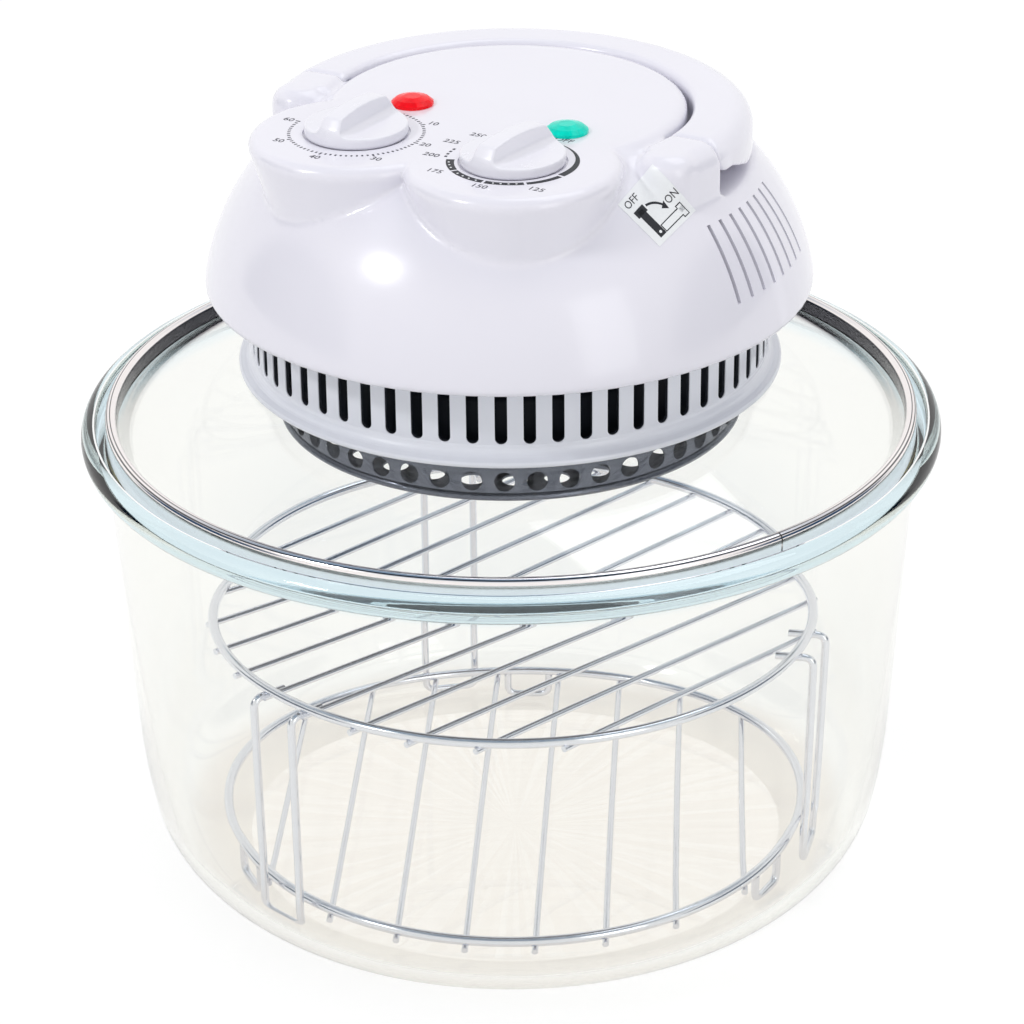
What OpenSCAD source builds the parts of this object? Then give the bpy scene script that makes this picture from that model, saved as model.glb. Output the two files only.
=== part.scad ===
// Halogen oven: a glass bowl with two wire racks, and a lift-off glass lid that carries the heater,
// the fans, the controls and the carrying handle.
// Origin: centre of the bowl's flat base. +Z is up, and the controls face -Y. Millimetres.

/* [Bowl] */
// Outer radius of the bowl's rim, at its widest
bowl_rim_r = 170; // [155:1:185]
// How far the rim stands out past the wall just under it
rim_overhang = 9; // [8:0.25:11]
// Height of the middle of the rim's round edge
bowl_rim_z = 190; // [170:1:215]
// Radius of the rim's round edge
bowl_rim_edge_r = 5.5; // [5:0.1:6.5]
// Thickness of the bowl's glass
bowl_wall_t = 5; // [4:0.25:6]
// Radius of the corner between the bowl's wall and its base
bowl_corner_r = 40; // [32:1:45]
// Radius of the belly above that corner
bowl_belly_r = 280; // [200:5:320]
// Lean of the wall out of plumb, in degrees
bowl_wall_lean = 3.3; // [2:0.1:5]
// Lean of the wall where the belly meets the corner, in degrees
bowl_belly_lean = 10; // [8:0.5:13]
// Width of the ledge inside the rim that carries the lid
ledge_w = 8; // [7:0.25:9]
// Depth of that ledge below the top of the rim
ledge_depth = 7.5; // [6:0.25:8]

/* [Racks] */
// How far the ring of both racks lies inside the rim's widest line, to the wire's centre
rack_inset = 50.5; // [49:0.5:58]
// Radius of the ring's wire
ring_wire_r = 2; // [1.5:0.1:2.2]
// Radius of the wire of the bars
bar_wire_r = 1.3; // [1:0.1:1.6]
// Radius of the wire of the legs
leg_wire_r = 1.6; // [1.3:0.1:1.8]
// Height of the high rack's ring
high_ring_z = 111; // [95:1:125]
// Height of the low rack's ring
low_ring_z = 21; // [19:0.5:28]
// Distance between the high rack's bars
high_bar_pitch = 22; // [18:0.5:28]
// Distance between the low rack's bars
low_bar_pitch = 27; // [22:0.5:32]
// Direction of the high rack's bars, in degrees from +X
high_bar_turn = 73; // [0:1:180]
// Direction of the low rack's bars, in degrees from +X
low_bar_turn = 116; // [0:1:180]
// How far a bar's end stands past the ring
bar_stub = 3; // [2.5:0.25:4]
// How far a high rack leg reaches in under the ring
leg_stub = 9; // [7:0.5:14]
// Width of a high rack leg, between its two upright wires
high_leg_w = 22; // [16:1:30]
// Width of a low rack leg, between its two upright wires
low_leg_w = 18; // [14:1:19]
// Gap between the ring's wire and a high rack leg's wire
leg_ring_gap = 2.4; // [2:0.1:3]
// How deep one wire sinks into another at a weld
weld = 0.7; // [0.6:0.05:0.9]

/* [Lid] */
// Thickness of the lid's glass
lid_glass_t = 3.6; // [3:0.1:3.6]
// Radius of the sphere that the lid's glass follows
lid_sphere_r = 300; // [285:5:340]
// Width of the glass under the skirt's foot, from the foot's edge in to the hole
lid_seat_w = 12.5; // [11.5:0.25:14]
// Thickness of the steel of the lid's rim band
band_t = 0.8; // [0.6:0.05:1]
// Width of the rim band's channel, from its inner to its outer face
band_w = 4.6; // [4.2:0.1:5.4]
// Height of the rim band
band_h = 11; // [10:0.25:12]
// Gap between the rim band and the side of the bowl's ledge
band_side_gap = 3.8; // [3:0.1:4.4]

/* [Vent skirt] */
// Outer radius of the skirt's slotted wall
skirt_wall_r = 101; // [92:0.5:104]
// How far the skirt's foot stands out past that wall
skirt_foot_w = 5.5; // [4.5:0.25:7]
// Thickness of the skirt's wall
skirt_t = 1.6; // [1.2:0.1:2]
// Number of slots in the skirt
skirt_slots = 60; // [48:1:64]
// Width of a slot
skirt_slot_w = 4.6; // [3.5:0.1:5]
// Height of the slotted wall above the foot, up to the flange that carries the cover
skirt_h = 37; // [34:0.5:40]

/* [Cover] */
// How far the cover's lower edge stands out past the skirt's wall
cover_overhang = 17.5; // [16:0.25:20]
// Lean of the cover's domed side at its lower edge, in degrees
cover_lean = 8; // [5:0.5:10]
// Lean of the cover's domed side at the height of its panel, in degrees
cover_top_lean = 66.5; // [62:0.5:70]
// Height of the cover, from its lower edge to the control panel
cover_h = 70.8; // [69:0.2:73]
// Thickness of the cover's plastic
cover_t = 2.5; // [2:0.1:3]
// How far the round panel lies inside the cover's lower edge
panel_inset = 50; // [48:0.5:52]
// Radius of the round bosses that carry the dials
lobe_r = 40.5; // [38:0.5:42]
// Draft of the bosses' sides, in degrees
lobe_draft = 16; // [8:0.5:18]
// Rounding of the panel's upper edges
panel_edge_r = 4; // [3:0.25:5]
// Number of vent slots on each side of the cover
side_vents = 8; // [5:1:9]
// Width of a side vent
side_vent_w = 1.8; // [1.4:0.1:2.4]
// Length of a side vent
side_vent_l = 27; // [20:0.5:29]
// Angle between two side vents, in degrees
side_vent_pitch = 4.1; // [3.8:0.1:4.6]

/* [Dials and lamps] */
// Distance of each dial from the middle of the cover, sideways
dial_x = 33.2; // [32:0.1:34]
// How far each dial lies behind the cover's front edge
dial_inset = 62.4; // [61:0.1:65]
// Radius of a knob
knob_r = 19.5; // [17:0.25:20]
// Height of a knob
knob_h = 12; // [11:0.5:15]
// Width of a knob's grip bar at its top
knob_bar_w = 7; // [5.5:0.25:9]
// Height of the floor on both sides of a knob's grip bar
knob_floor_h = 4.5; // [4:0.25:6]
// Direction that the timer knob's bar points in at rest, in degrees from +X
timer_bar_turn = 88; // [0:1:180]
// Direction that the thermostat knob's bar points in at rest, in degrees from +X
thermostat_bar_turn = 82; // [0:1:180]
// Radius of the dials' shafts
dial_shaft_r = 3; // [2.5:0.1:3.5]
// Radius of a signal lamp's lens
lens_r = 8; // [6:0.25:9]
// Height of a signal lamp's lens above the panel
lens_h = 3.2; // [2:0.1:4]
// How far each signal lamp stands to the right of its dial
lens_shift = 3; // [0:0.25:4]
// How far each signal lamp stands behind its dial
lens_dial_gap = 36.2; // [35:0.2:42]

/* [Handle] */
// Gap between the carrying handle and the panel that it lies round
handle_gap = 2; // [2:0.1:2.6]
// Width of the carrying handle, seen from above
handle_w = 23; // [20:0.25:24]
// Height of the handle's grip
handle_h = 18; // [16.5:0.25:18.5]
// Radius of the round ends of the handle, round its pivots
handle_hub_r = 6; // [5.5:0.1:6.5]
// Radius of the handle's pivot pins
handle_pin_r = 2.5; // [2:0.1:3]

/* [Heater] */
// Gap between the guard's chromed bottom ring and the hole in the lid's glass
guard_side_gap = 3; // [2.5:0.1:4]
// Height of the guard, from its top face down to its chromed ring
guard_h = 20.6; // [18:0.2:22]
// Radius of the holes round the guard's wall
guard_hole_r = 3.9; // [3:0.1:4.2]
// Number of the holes round the guard's wall
guard_holes = 46; // [30:1:50]
// Gap between the ring-shaped lamp's tube and the guard's wall
lamp_side_gap = 18; // [17:0.2:20]
// Radius of the lamp's tube
lamp_tube_r = 5; // [4:0.1:5.5]
// Angle that the lamp's tube covers, in degrees
lamp_arc = 306; // [290:1:315]
// Gap between the heat shield and the skirt's slotted wall
shield_side_gap = 6.4; // [5.4:0.1:9]
// Gap between the heat shield and the cooling fan above it
shield_top_gap = 3; // [2.5:0.1:5]

/* [Motor and fans] */
// Radius of the motor's shaft
shaft_r = 3; // [2.5:0.1:3.5]
// Gap between the convection fan and the lamp round it
fan_side_gap = 9; // [8.5:0.25:14]
// Number of the convection fan's blades
hot_fan_blades = 12; // [6:1:16]
// Outer radius of the cooling fan
cool_fan_r = 50; // [42:0.5:54]
// Number of the cooling fan's blades
cool_fan_blades = 9; // [6:1:12]
// Width and depth of the motor's laminated core
motor_w = 48; // [42:0.5:50]
// Height of the motor's laminated core
motor_core_h = 18; // [12:0.5:20]

/* [Hidden] */

$fn = 72;
// Clearances: between bodies at rest, inside one body, of a running shaft, and of a cut past its wall
seat_gap = 0.3;
join_gap = 0.1;
run_gap = 0.05;
cut_over = 1;

// Bowl
bowl_neck_r = bowl_rim_r - rim_overhang;
bowl_join_z = bowl_corner_r*(1 - sin(bowl_belly_lean))
    + bowl_belly_r*(sin(bowl_belly_lean) - sin(bowl_wall_lean));
neck_drop = 2;
bowl_neck_z = bowl_rim_z - bowl_rim_edge_r - neck_drop;
bowl_join_r = bowl_neck_r - (bowl_neck_z - bowl_join_z)*tan(bowl_wall_lean);
belly_c = [bowl_join_r - bowl_belly_r*cos(bowl_wall_lean), bowl_join_z + bowl_belly_r*sin(bowl_wall_lean)];
corner_c = [belly_c[0] + (bowl_belly_r - bowl_corner_r)*cos(bowl_belly_lean), bowl_corner_r];
rim_top_z = bowl_rim_z + bowl_rim_edge_r;
ledge_z = rim_top_z - ledge_depth;
ledge_in_r = bowl_neck_r - bowl_wall_t;
ledge_out_r = ledge_in_r + ledge_w;
edge_cut = 0.5;

// Racks: the high rack's legs start as stubs under its ring and stand outside the low rack
rack_ring_r = bowl_rim_r - rack_inset;
bar_edge = 12;
high_leg_r = rack_ring_r + ring_wire_r + leg_ring_gap + leg_wire_r;
high_leg_top = high_ring_z - ring_wire_r - leg_wire_r + weld;
low_leg_top = low_ring_z - ring_wire_r + weld;
high_bar_z = high_ring_z - ring_wire_r - bar_wire_r + weld;
low_bar_z = low_ring_z - ring_wire_r - bar_wire_r - join_gap;
high_leg_turns = [-108, 12, 132];
low_leg_turns = [0, 120, 240];

// Lid
band_z = ledge_z + seat_gap;
band_out_r = ledge_out_r - band_side_gap;
band_in_r = band_out_r - band_w;
lid_edge_z = band_z + band_t + join_gap;
lid_edge_r = band_out_r - band_t - join_gap;
lid_lip_w = 0.6;
lid_lip_r = band_in_r - lid_lip_w;
lid_c_z = lid_edge_z + lid_glass_t - sqrt(pow(lid_sphere_r, 2) - pow(lid_lip_r, 2));
gasket_t = 1;
gasket_inset = 1.5;

// Skirt, on the gasket on the lid's glass
skirt_foot_r = skirt_wall_r + skirt_foot_w;
lid_hole_r = skirt_foot_r - lid_seat_w;
skirt_in_r = skirt_wall_r - skirt_t;
foot_edge_r = 1.2;
foot_top_r = skirt_foot_r - foot_edge_r;
foot_edge_rise = 0.2;
foot_fillet_rise = 1;
wall_step = 0.4;
foot_fillet_r = skirt_foot_w - foot_edge_r - join_gap;
foot_lift = 0.5;
foot_h = 6;
skirt_z = lid_top(skirt_foot_r) + foot_lift;
skirt_seat_r = lid_hole_r + gasket_inset;
skirt_top_z = skirt_z + skirt_h;
skirt_lip = 1.5;
slot_rise = 7.7;
slot_top_gap = 2.2;
skirt_slot_l = skirt_h - skirt_t - slot_rise - slot_top_gap;
skirt_slot_z = skirt_z + slot_rise;

// Cover
cover_r = skirt_wall_r + cover_overhang;
cover_side_gap = 1;
hem = 2;
skirt_flange_r = cover_r - cover_t - cover_side_gap;
cover_lap = 3.1;
cover_z = skirt_top_z - cover_lap;
panel_z = cover_z + cover_h;
panel_r = cover_r - panel_inset;
cover_side_r = cover_h/(sin(cover_top_lean) - sin(cover_lean));
cover_c_r = cover_r - cover_side_r*cos(cover_lean);
cover_c_z = cover_z - cover_side_r*sin(cover_lean);
handle_z = panel_z - handle_h;
channel_gap = 3;
channel_z = handle_z - channel_gap;
hub_gap = 0.8;
channel_front_y = -handle_hub_r - hub_gap;
lobe_rise = 20;
ear_turn = 15;
ear_drop = 12;
ear_round = 7;
vent_drop = 2;
side_vent_z = channel_z - cover_t - vent_drop - side_vent_l;
side_vent_turn = -13;
side_vent_depth = 26;
dial_recess = 0.8;
dial_side_gap = 1.5;
dial_y = cover_r - dial_inset;
dials = [[-dial_x, -dial_y], [dial_x, -dial_y]];
lenses = [for (p = dials) p + [lens_shift, lens_dial_gap]];

// Handle
handle_in_r = panel_r + handle_gap;
handle_out_r = handle_in_r + handle_w;
handle_outer_round = 9;
handle_inner_round = 3;
handle_foot_round = 1;
pivot_z = panel_z - handle_hub_r;
pivot_boss_w = 14;
pin_l = 15;
arm_rise_y = 24;
plunger_r = 2;
plunger_gap = 0.25;
plunger_tail = 5;
plunger_y = arm_rise_y + 3*plunger_r;
plunger_turn = asin(plunger_y/(handle_in_r + handle_outer_round));
plunger_at = (handle_in_r + handle_outer_round)*[cos(plunger_turn), sin(plunger_turn)];
switch_w = 20;
switch_d = 8;
switch_h = 11;
switch_bore_z = 4;

// Controls under the panel
knob_lift = 0.5;
knob_z = panel_z - dial_recess + knob_lift;
knob_roof = 6;
knob_side_r = 8;
knob_side_z = 3;
knob_crown_r = 44;
knob_shoulder = 4.5;
knob_shoulder_turn = 32;
knob_wall_t = 2;
knob_boss_r = 6;
knob_hollow_h = 3;
bar_flare = 0.9;
bar_foot_r = 3;
unit_top_z = panel_z - cover_t - join_gap;
timer_r = 23;
timer_h = 26;
timer_plate_w = 44;
thermostat_r = 17;
thermostat_h = 24;
thermostat_plate = [32, 24];
plate_t = 1.2;
dial_shaft_l = 11;
bell_r = 15;
bell_h = 9;
bell_t = 1;
lens_stem_r = 4.5;
lens_girdle_h = 1;
lens_table = 0.55;
socket_r = 6.5;
socket_h = 18;
socket_floor = 14;

// Heater
guard_t = 0.8;
guard_r = lid_hole_r - guard_side_gap;
guard_bead_r = 1.6;
guard_wall_r = guard_r - guard_bead_r + guard_t/2;
guard_flange_w = 8;
guard_top_z = lid_bottom(guard_wall_r + guard_flange_w) - join_gap;
guard_z = guard_top_z - guard_h;
guard_hole_rise = 2.2;
grille_rows = 5;
grille_pitch = 15.2;
grille_hole_r = 4.8;
reflector_z = guard_top_z + join_gap;
reflector_rise = 2;
reflector_bend = 4;
reflector_slope = 6;
fold_gap = 0.3;
lamp_ring_r = guard_wall_r - guard_t - lamp_side_gap - lamp_tube_r;
holder_w = 9;
holder_wall = 1.5;
holder_gap = 1.2;
post_r = 2;
lamp_z = reflector_z - lamp_tube_r - holder_wall - holder_gap;
shield_r = skirt_in_r - shield_side_gap;
shield_edge_r = 3;
shield_wall_t = 4;
shaft_hole_gap = 1;
pad_gap = 0.5;
pad_hole_r = 8;
shield_z = reflector_z + guard_t + join_gap;
insulation_z = reflector_z + reflector_rise + guard_t + join_gap;
cool_fan_h = 9;
cool_fan_drop = 2.3;
cool_fan_z = skirt_top_z - cool_fan_h - cool_fan_drop;
shield_h = cool_fan_z - shield_top_gap - shield_z;
insulation_h = shield_z + shield_h - guard_t - join_gap - insulation_z;
sensor_r = 2.5;
sensor_l = 11;
capillary_r = 0.8;
capillary_gap = 0.4;
sensor_at = (lamp_ring_r + lamp_tube_r + 3*sensor_r)*dials[1]/norm(dials[1]);

// Motor and fans
bridge_z = skirt_top_z + join_gap;
bridge_t = 2;
bridge_w = 26;
bridge_inset = 4;
bridge_l = 2*(skirt_flange_r - bridge_inset);
bridge_hole_r = 9;
pillar_h = 8;
pillar_r = 4;
pillar_inset = 5;
stack_z = bridge_z + bridge_t + pillar_h;
core_side = 11;
rotor_r = motor_w/2 - core_side;
rotor_inset = 1;
air_gap = 0.5;
core_limb = 8;
core_neck = 4;
coil_gap = 2;
coil_w = 24;
coil_t = core_side - core_neck - coil_gap;
bracket_t = 3;
bracket_w = 10;
bracket_r = 8;
hot_fan_r = lamp_ring_r - lamp_tube_r - fan_side_gap;
hot_fan_rise = 6;
hot_fan_z = guard_z + hot_fan_rise;
hot_fan_h = 7;
hot_hub_r = 8;
cool_hub_r = 9;
hot_disc_t = 0.8;
cool_disc_t = 1.2;
cool_pitch = 30;
fan_disc_share = 0.62;
blade_t = 1;
blade_inset = 0.4;
nut_r = 5.5;
shaft_rise = 3.2;
shaft_bottom_z = guard_z + shaft_rise;
shaft_tail = 6;
shaft_top_z = stack_z + motor_core_h + bracket_t + shaft_tail;

// Fasteners
screw_r = 1.5;
screw_head_r = 3;
screw_head_h = 1.8;
boss_r = 4.5;
boss_h = 24;
boss_bore_l = 12;
cover_screw_l = 9;
screw_tail = 3;
screw_side_gap = 0.7;
cover_screw_inset = 5.5;
cover_screw_r = skirt_flange_r - cover_screw_inset;
cover_screw_turns = [30, 150, 210, 330];
bridge_screw_inset = 9;
bridge_screw_r = skirt_flange_r - bridge_screw_inset;
guard_screw_r = guard_wall_r - guard_t - screw_head_r - screw_side_gap;
guard_screw_turns = [0, 90, 180, 270];
pad_r = guard_screw_r - screw_r - pad_gap;
gland_rise = 14;
gland_z = cover_z + gland_rise;
gland_r = 7;
gland_flange_r = 9.5;
gland_flange_t = 2.4;
gland_bore_r = 3.6;
gland_l = 15;
block_l = 32;
block_w = 12;
block_inset = 10;
block_y = skirt_flange_r - block_w - block_inset;
block_pitch = 10;
block_screw_r = 1.6;
block_wire_r = 1.8;

// Heights of the upper and lower faces of the lid's glass at a radius
function lid_top(r) = lid_c_z + sqrt(pow(lid_sphere_r, 2) - r*r);
function lid_bottom(r) = lid_c_z + sqrt(pow(lid_sphere_r - lid_glass_t, 2) - r*r);
// Radius of the cover's outer face at a height
function cover_at(z) = cover_c_r + sqrt(pow(cover_side_r, 2) - pow(z - cover_c_z, 2));
// Points of an arc from angle a to angle b
function arc(c, r, a, b, n = 12) = [for (i = [0:n]) c + r*[cos(a + (b - a)*i/n), sin(a + (b - a)*i/n)]];
// Points of a part of the lid's sphere, from radius ra to radius rb, raised by up
function lid_arc(ra, rb, up, n = 14) = [for (i = [0:n]) let(r = ra + (rb - ra)*i/n)
    [r, lid_c_z + sqrt(pow(lid_sphere_r + up, 2) - r*r)]];
// The bowl's outline from its axis to its neck, moved inwards by t
function bowl_line(t) = concat([[0, t]],
    arc(corner_c, bowl_corner_r - t, -90, -bowl_belly_lean, 16),
    arc(belly_c, bowl_belly_r - t, -bowl_belly_lean, -bowl_wall_lean, 6));
function reversed(p) = [for (i = [len(p) - 1:-1:0]) p[i]];
// The cover's domed side from height za to height zb, moved inwards by t
function cover_line(za, zb, t, n = 14) =
    let(a = asin((za - cover_c_z)/cover_side_r), b = asin((zb - cover_c_z)/cover_side_r))
    arc([cover_c_r, cover_c_z], cover_side_r - t, a, b, n);

module at(p) translate([p[0], p[1], 0]) children();
module turned(angles) for (a = angles) rotate(a) children();
module ring(r_out, r_in, z, h)
    translate([0, 0, z]) difference() {
        cylinder(r = r_out, h = h);
        translate([0, 0, -cut_over]) cylinder(r = r_in, h = h + 2*cut_over);
    }
// A round boss with a rounded upper edge, whose side tapers downwards by an angle
module puck(r, z0, z1, e, draft = 0)
    rotate_extrude() polygon(concat([[0, z0], [r - (z1 - e - z0)*tan(draft), z0]],
        arc([r - e, z1 - e], e, 0, 90, 6), [[0, z1]]));

// ---- Bowl and racks ----

module glass_bowl() color([0.90, 0.95, 0.97, 0.35])
    rotate_extrude($fn = 128) polygon(concat(
        bowl_line(0),
        [[bowl_neck_r, bowl_neck_z]],
        arc([bowl_rim_r - bowl_rim_edge_r, bowl_rim_z], bowl_rim_edge_r, -65, 90, 10),
        [[ledge_out_r + edge_cut, rim_top_z], [ledge_out_r, rim_top_z - edge_cut], [ledge_out_r, ledge_z],
         [ledge_in_r, ledge_z], [ledge_in_r, bowl_neck_z - neck_drop]],
        reversed(bowl_line(bowl_wall_t))));

module rod(a, b, r) {
    d = b - a;
    translate(a) rotate([0, acos(d[2]/norm(d)), atan2(d[1], d[0])]) cylinder(r = r, h = norm(d), $fn = 48);
}
module wire_ring(z)
    translate([0, 0, z]) rotate_extrude() translate([rack_ring_r, 0]) circle(ring_wire_r, $fn = 48);

// Parallel bars at height z, under a ring that each one crosses near both its ends
module wire_bars(z, pitch, turn) {
    count = floor((rack_ring_r - bar_edge)/pitch - 0.5);
    rotate(turn) for (i = [-count - 1:count]) {
        y = (i + 0.5)*pitch;
        half = sqrt(pow(rack_ring_r, 2) - y*y) + bar_stub;
        rod([-half, y, z], [half, y, z], bar_wire_r);
    }
}
// A leg's two uprights and the foot that joins them
module wire_leg(out, width, top, foot) {
    for (s = [-1, 1]) {
        rod([out, s*width/2, top], [out, s*width/2, foot], leg_wire_r);
        translate([out, s*width/2, foot]) sphere(leg_wire_r, $fn = 48);
    }
    rod([out, -width/2, foot], [out, width/2, foot], leg_wire_r);
}
// Height of a leg's foot in the bowl's corner, where the ends of the foot lie at radius r
function foot_z(r) = corner_c[1]
    - sqrt(pow(bowl_corner_r - bowl_wall_t - leg_wire_r - seat_gap, 2) - pow(max(r - corner_c[0], 0), 2));

module high_rack() color([0.80, 0.81, 0.84]) {
    wire_ring(high_ring_z);
    wire_bars(high_bar_z, high_bar_pitch, high_bar_turn);
    turned(high_leg_turns) {
        wire_leg(high_leg_r, high_leg_w, high_leg_top, foot_z(norm([high_leg_r, high_leg_w/2])));
        for (y = [-high_leg_w/2, high_leg_w/2]) {
            rod([rack_ring_r - leg_stub, y, high_leg_top], [high_leg_r, y, high_leg_top], leg_wire_r);
            translate([high_leg_r, y, high_leg_top]) sphere(leg_wire_r, $fn = 48);
        }
    }
}
// The low rack's legs come straight down from its ring, between its bars
module low_rack() color([0.80, 0.81, 0.84]) {
    wire_ring(low_ring_z);
    rotate(low_bar_turn) turned(low_leg_turns)
        wire_leg(rack_ring_r, low_leg_w, low_leg_top, foot_z(norm([rack_ring_r, low_leg_w/2])));
}

module low_rack_bars() color([0.80, 0.81, 0.84]) wire_bars(low_bar_z, low_bar_pitch, low_bar_turn);

// ---- Lid ----

module lid_glass() color([0.90, 0.95, 0.97, 0.35])
    rotate_extrude($fn = 128) polygon(concat(
        lid_arc(lid_hole_r, lid_lip_r, 0),
        [[lid_edge_r - edge_cut, lid_edge_z + lid_glass_t], [lid_edge_r, lid_edge_z + lid_glass_t - edge_cut],
         [lid_edge_r, lid_edge_z]],
        reversed([for (p = lid_arc(lid_hole_r, lid_lip_r, -lid_glass_t)) [p[0], max(p[1], lid_edge_z)]])));

// A steel channel folded round the glass's edge, open towards the glass
module band_section() {
    bead_r = band_w/2;
    mouth_h = lid_glass_t + 2*join_gap;
    difference() {
        union() {
            translate([band_in_r, band_z]) square([band_w, band_h - bead_r]);
            translate([band_in_r + bead_r, band_z + band_h - bead_r]) circle(bead_r, $fn = 32);
        }
        translate([band_in_r + band_t, band_z + band_t])
            square([band_w - 2*band_t, band_h - bead_r - band_t]);
        translate([band_in_r + bead_r, band_z + band_h - bead_r]) circle(bead_r - band_t, $fn = 32);
        translate([band_in_r - cut_over, band_z + band_t]) square([band_w/2, mouth_h]);
    }
}
module lid_rim_band() color([0.82, 0.80, 0.80])
    rotate_extrude($fn = 128) band_section();

module glass_gasket() color([0.75, 0.75, 0.78])
    rotate_extrude() polygon(concat(
        lid_arc(skirt_seat_r, skirt_foot_r - gasket_inset, join_gap, 4),
        reversed(lid_arc(skirt_seat_r, skirt_foot_r - gasket_inset, gasket_t, 4))));

// ---- Vent skirt ----

module vent_skirt() color([0.93, 0.93, 0.95])
    difference() {
        rotate_extrude($fn = 128) polygon(concat(
            lid_arc(skirt_seat_r, foot_top_r, gasket_t + join_gap, 4),
            arc([foot_top_r, skirt_z + foot_edge_r + foot_edge_rise], foot_edge_r, -60, 90, 6),
            arc([foot_top_r, skirt_z + foot_h + foot_fillet_rise], foot_fillet_r, -100, -180, 6),
            [[skirt_wall_r, skirt_slot_z - wall_step], [skirt_wall_r, skirt_top_z - skirt_t],
             [skirt_flange_r, skirt_top_z - skirt_t], [skirt_flange_r, skirt_top_z],
             [skirt_in_r - skirt_lip, skirt_top_z], [skirt_in_r - skirt_lip, skirt_top_z - skirt_t],
             [skirt_in_r, skirt_top_z - skirt_t], [skirt_in_r, skirt_z + foot_h],
             [skirt_seat_r, skirt_z + foot_h]]));
        turned([for (i = [0:skirt_slots - 1]) 360*(i + 0.5)/skirt_slots])
            translate([skirt_in_r - cut_over - skirt_lip, 0, skirt_slot_z]) skirt_slot();
        cover_screw_holes(skirt_top_z - skirt_t);
        bridge_screw_holes(skirt_top_z - skirt_t);
    }
module skirt_slot() rotate([90, 0, 90]) linear_extrude(skirt_t + 2*cut_over + skirt_lip) {
    translate([-skirt_slot_w/2, skirt_slot_w/2]) square([skirt_slot_w, skirt_slot_l - skirt_slot_w]);
    for (y = [skirt_slot_w/2, skirt_slot_l - skirt_slot_w/2])
        translate([0, y]) circle(d = skirt_slot_w, $fn = 24);
}
module cover_screw_holes(z)
    turned(cover_screw_turns) translate([cover_screw_r, 0, z - cut_over])
        cylinder(r = screw_r + join_gap, h = skirt_t + 2*cut_over, $fn = 24);
module bridge_screw_holes(z)
    turned([0, 180]) translate([bridge_screw_r, 0, z - cut_over])
        cylinder(r = screw_r + join_gap, h = skirt_t + bridge_t + 2*cut_over, $fn = 24);

// ---- Heater ----

module heater_guard() color([0.78, 0.79, 0.82]) {
    floor_z = guard_z + guard_bead_r - guard_t/2;
    guard_hole_z = guard_z + guard_bead_r + guard_hole_r + guard_hole_rise;
    difference() {
        union() {
            ring(guard_wall_r, guard_wall_r - guard_t, guard_z + guard_bead_r, guard_h - guard_bead_r);
            ring(guard_wall_r + guard_flange_w, guard_wall_r - guard_flange_w,
                guard_top_z - guard_t, guard_t);
            translate([0, 0, guard_z + guard_bead_r]) rotate_extrude($fn = 128)
                translate([guard_r - guard_bead_r, 0]) circle(guard_bead_r, $fn = 24);
            translate([0, 0, floor_z]) cylinder(r = guard_r - guard_bead_r, h = guard_t);
        }
        turned([for (i = [0:guard_holes - 1]) 360*i/guard_holes])
            translate([guard_wall_r - guard_t - cut_over, 0, guard_hole_z])
                rotate([0, 90, 0]) cylinder(r = guard_hole_r, h = guard_t + 2*cut_over, $fn = 24);
        for (row = [1:grille_rows]) turned([for (i = [0:6*row - 1]) 60*i/row])
            translate([grille_pitch*row, 0, floor_z - cut_over])
                cylinder(r = grille_hole_r, h = guard_t + 2*cut_over, $fn = 24);
        turned(guard_screw_turns) translate([guard_screw_r, 0, guard_top_z - guard_t - cut_over])
            cylinder(r = screw_r + join_gap, h = guard_t + 2*cut_over, $fn = 24);
    }
}
module reflector_pan() color([0.86, 0.87, 0.89]) {
    bend_r = hot_fan_r + reflector_bend;
    foot_r = bend_r + reflector_slope;
    centre_z = reflector_z + reflector_rise;
    difference() {
        rotate_extrude() polygon([
            [0, centre_z], [bend_r, centre_z], [foot_r, reflector_z],
            [shield_r, reflector_z], [shield_r, reflector_z + guard_t],
            [foot_r + fold_gap, reflector_z + guard_t], [bend_r + fold_gap, centre_z + guard_t],
            [0, centre_z + guard_t]]);
        translate([0, 0, reflector_z]) cylinder(r = shaft_r + shaft_hole_gap, h = 2*reflector_rise);
        at(sensor_at) translate([0, 0, reflector_z - cut_over]) capillary_hole(reflector_rise + 2*cut_over);
        turned(guard_screw_turns) translate([guard_screw_r, 0, reflector_z - cut_over])
            cylinder(r = screw_r + join_gap, h = guard_t + 2*cut_over, $fn = 24);
    }
}
module capillary_hole(h) cylinder(r = capillary_r + capillary_gap, h = h, $fn = 24);
module halogen_lamp() color([0.95, 0.95, 0.92, 0.5])
    rotate(90 + (360 - lamp_arc)/2) translate([0, 0, lamp_z])
        rotate_extrude(angle = lamp_arc) translate([lamp_ring_r, 0]) circle(lamp_tube_r, $fn = 24);

// Ceramic end pieces of the lamp, with the posts that hang them from the reflector
module lamp_holders() color([0.95, 0.94, 0.90])
    for (s = [-1, 1]) rotate(90 + s*(360 - lamp_arc)/2) translate([lamp_ring_r, -s*holder_w/2, 0]) {
        block_w = 2*(lamp_tube_r + holder_wall);
        translate([-block_w/2, -holder_w/2, lamp_z - block_w/2]) cube([block_w, holder_w, block_w]);
        translate([0, 0, lamp_z]) cylinder(r = post_r, h = reflector_z - lamp_z - join_gap);
    }
module heat_shield() color([0.16, 0.17, 0.20])
    difference() {
        translate([0, 0, shield_z]) puck(shield_r, 0, shield_h, shield_edge_r);
        translate([0, 0, shield_z - cut_over])
            cylinder(r = shield_r - guard_t, h = shield_h - shield_edge_r + cut_over);
        translate([0, 0, shield_z]) cylinder(r = shield_r - shield_wall_t, h = shield_h - guard_t);
        translate([0, 0, shield_z]) cylinder(r = shaft_r + shaft_hole_gap, h = shield_h + cut_over);
        at(sensor_at) translate([0, 0, shield_z]) capillary_hole(shield_h + cut_over);
    }
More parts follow.
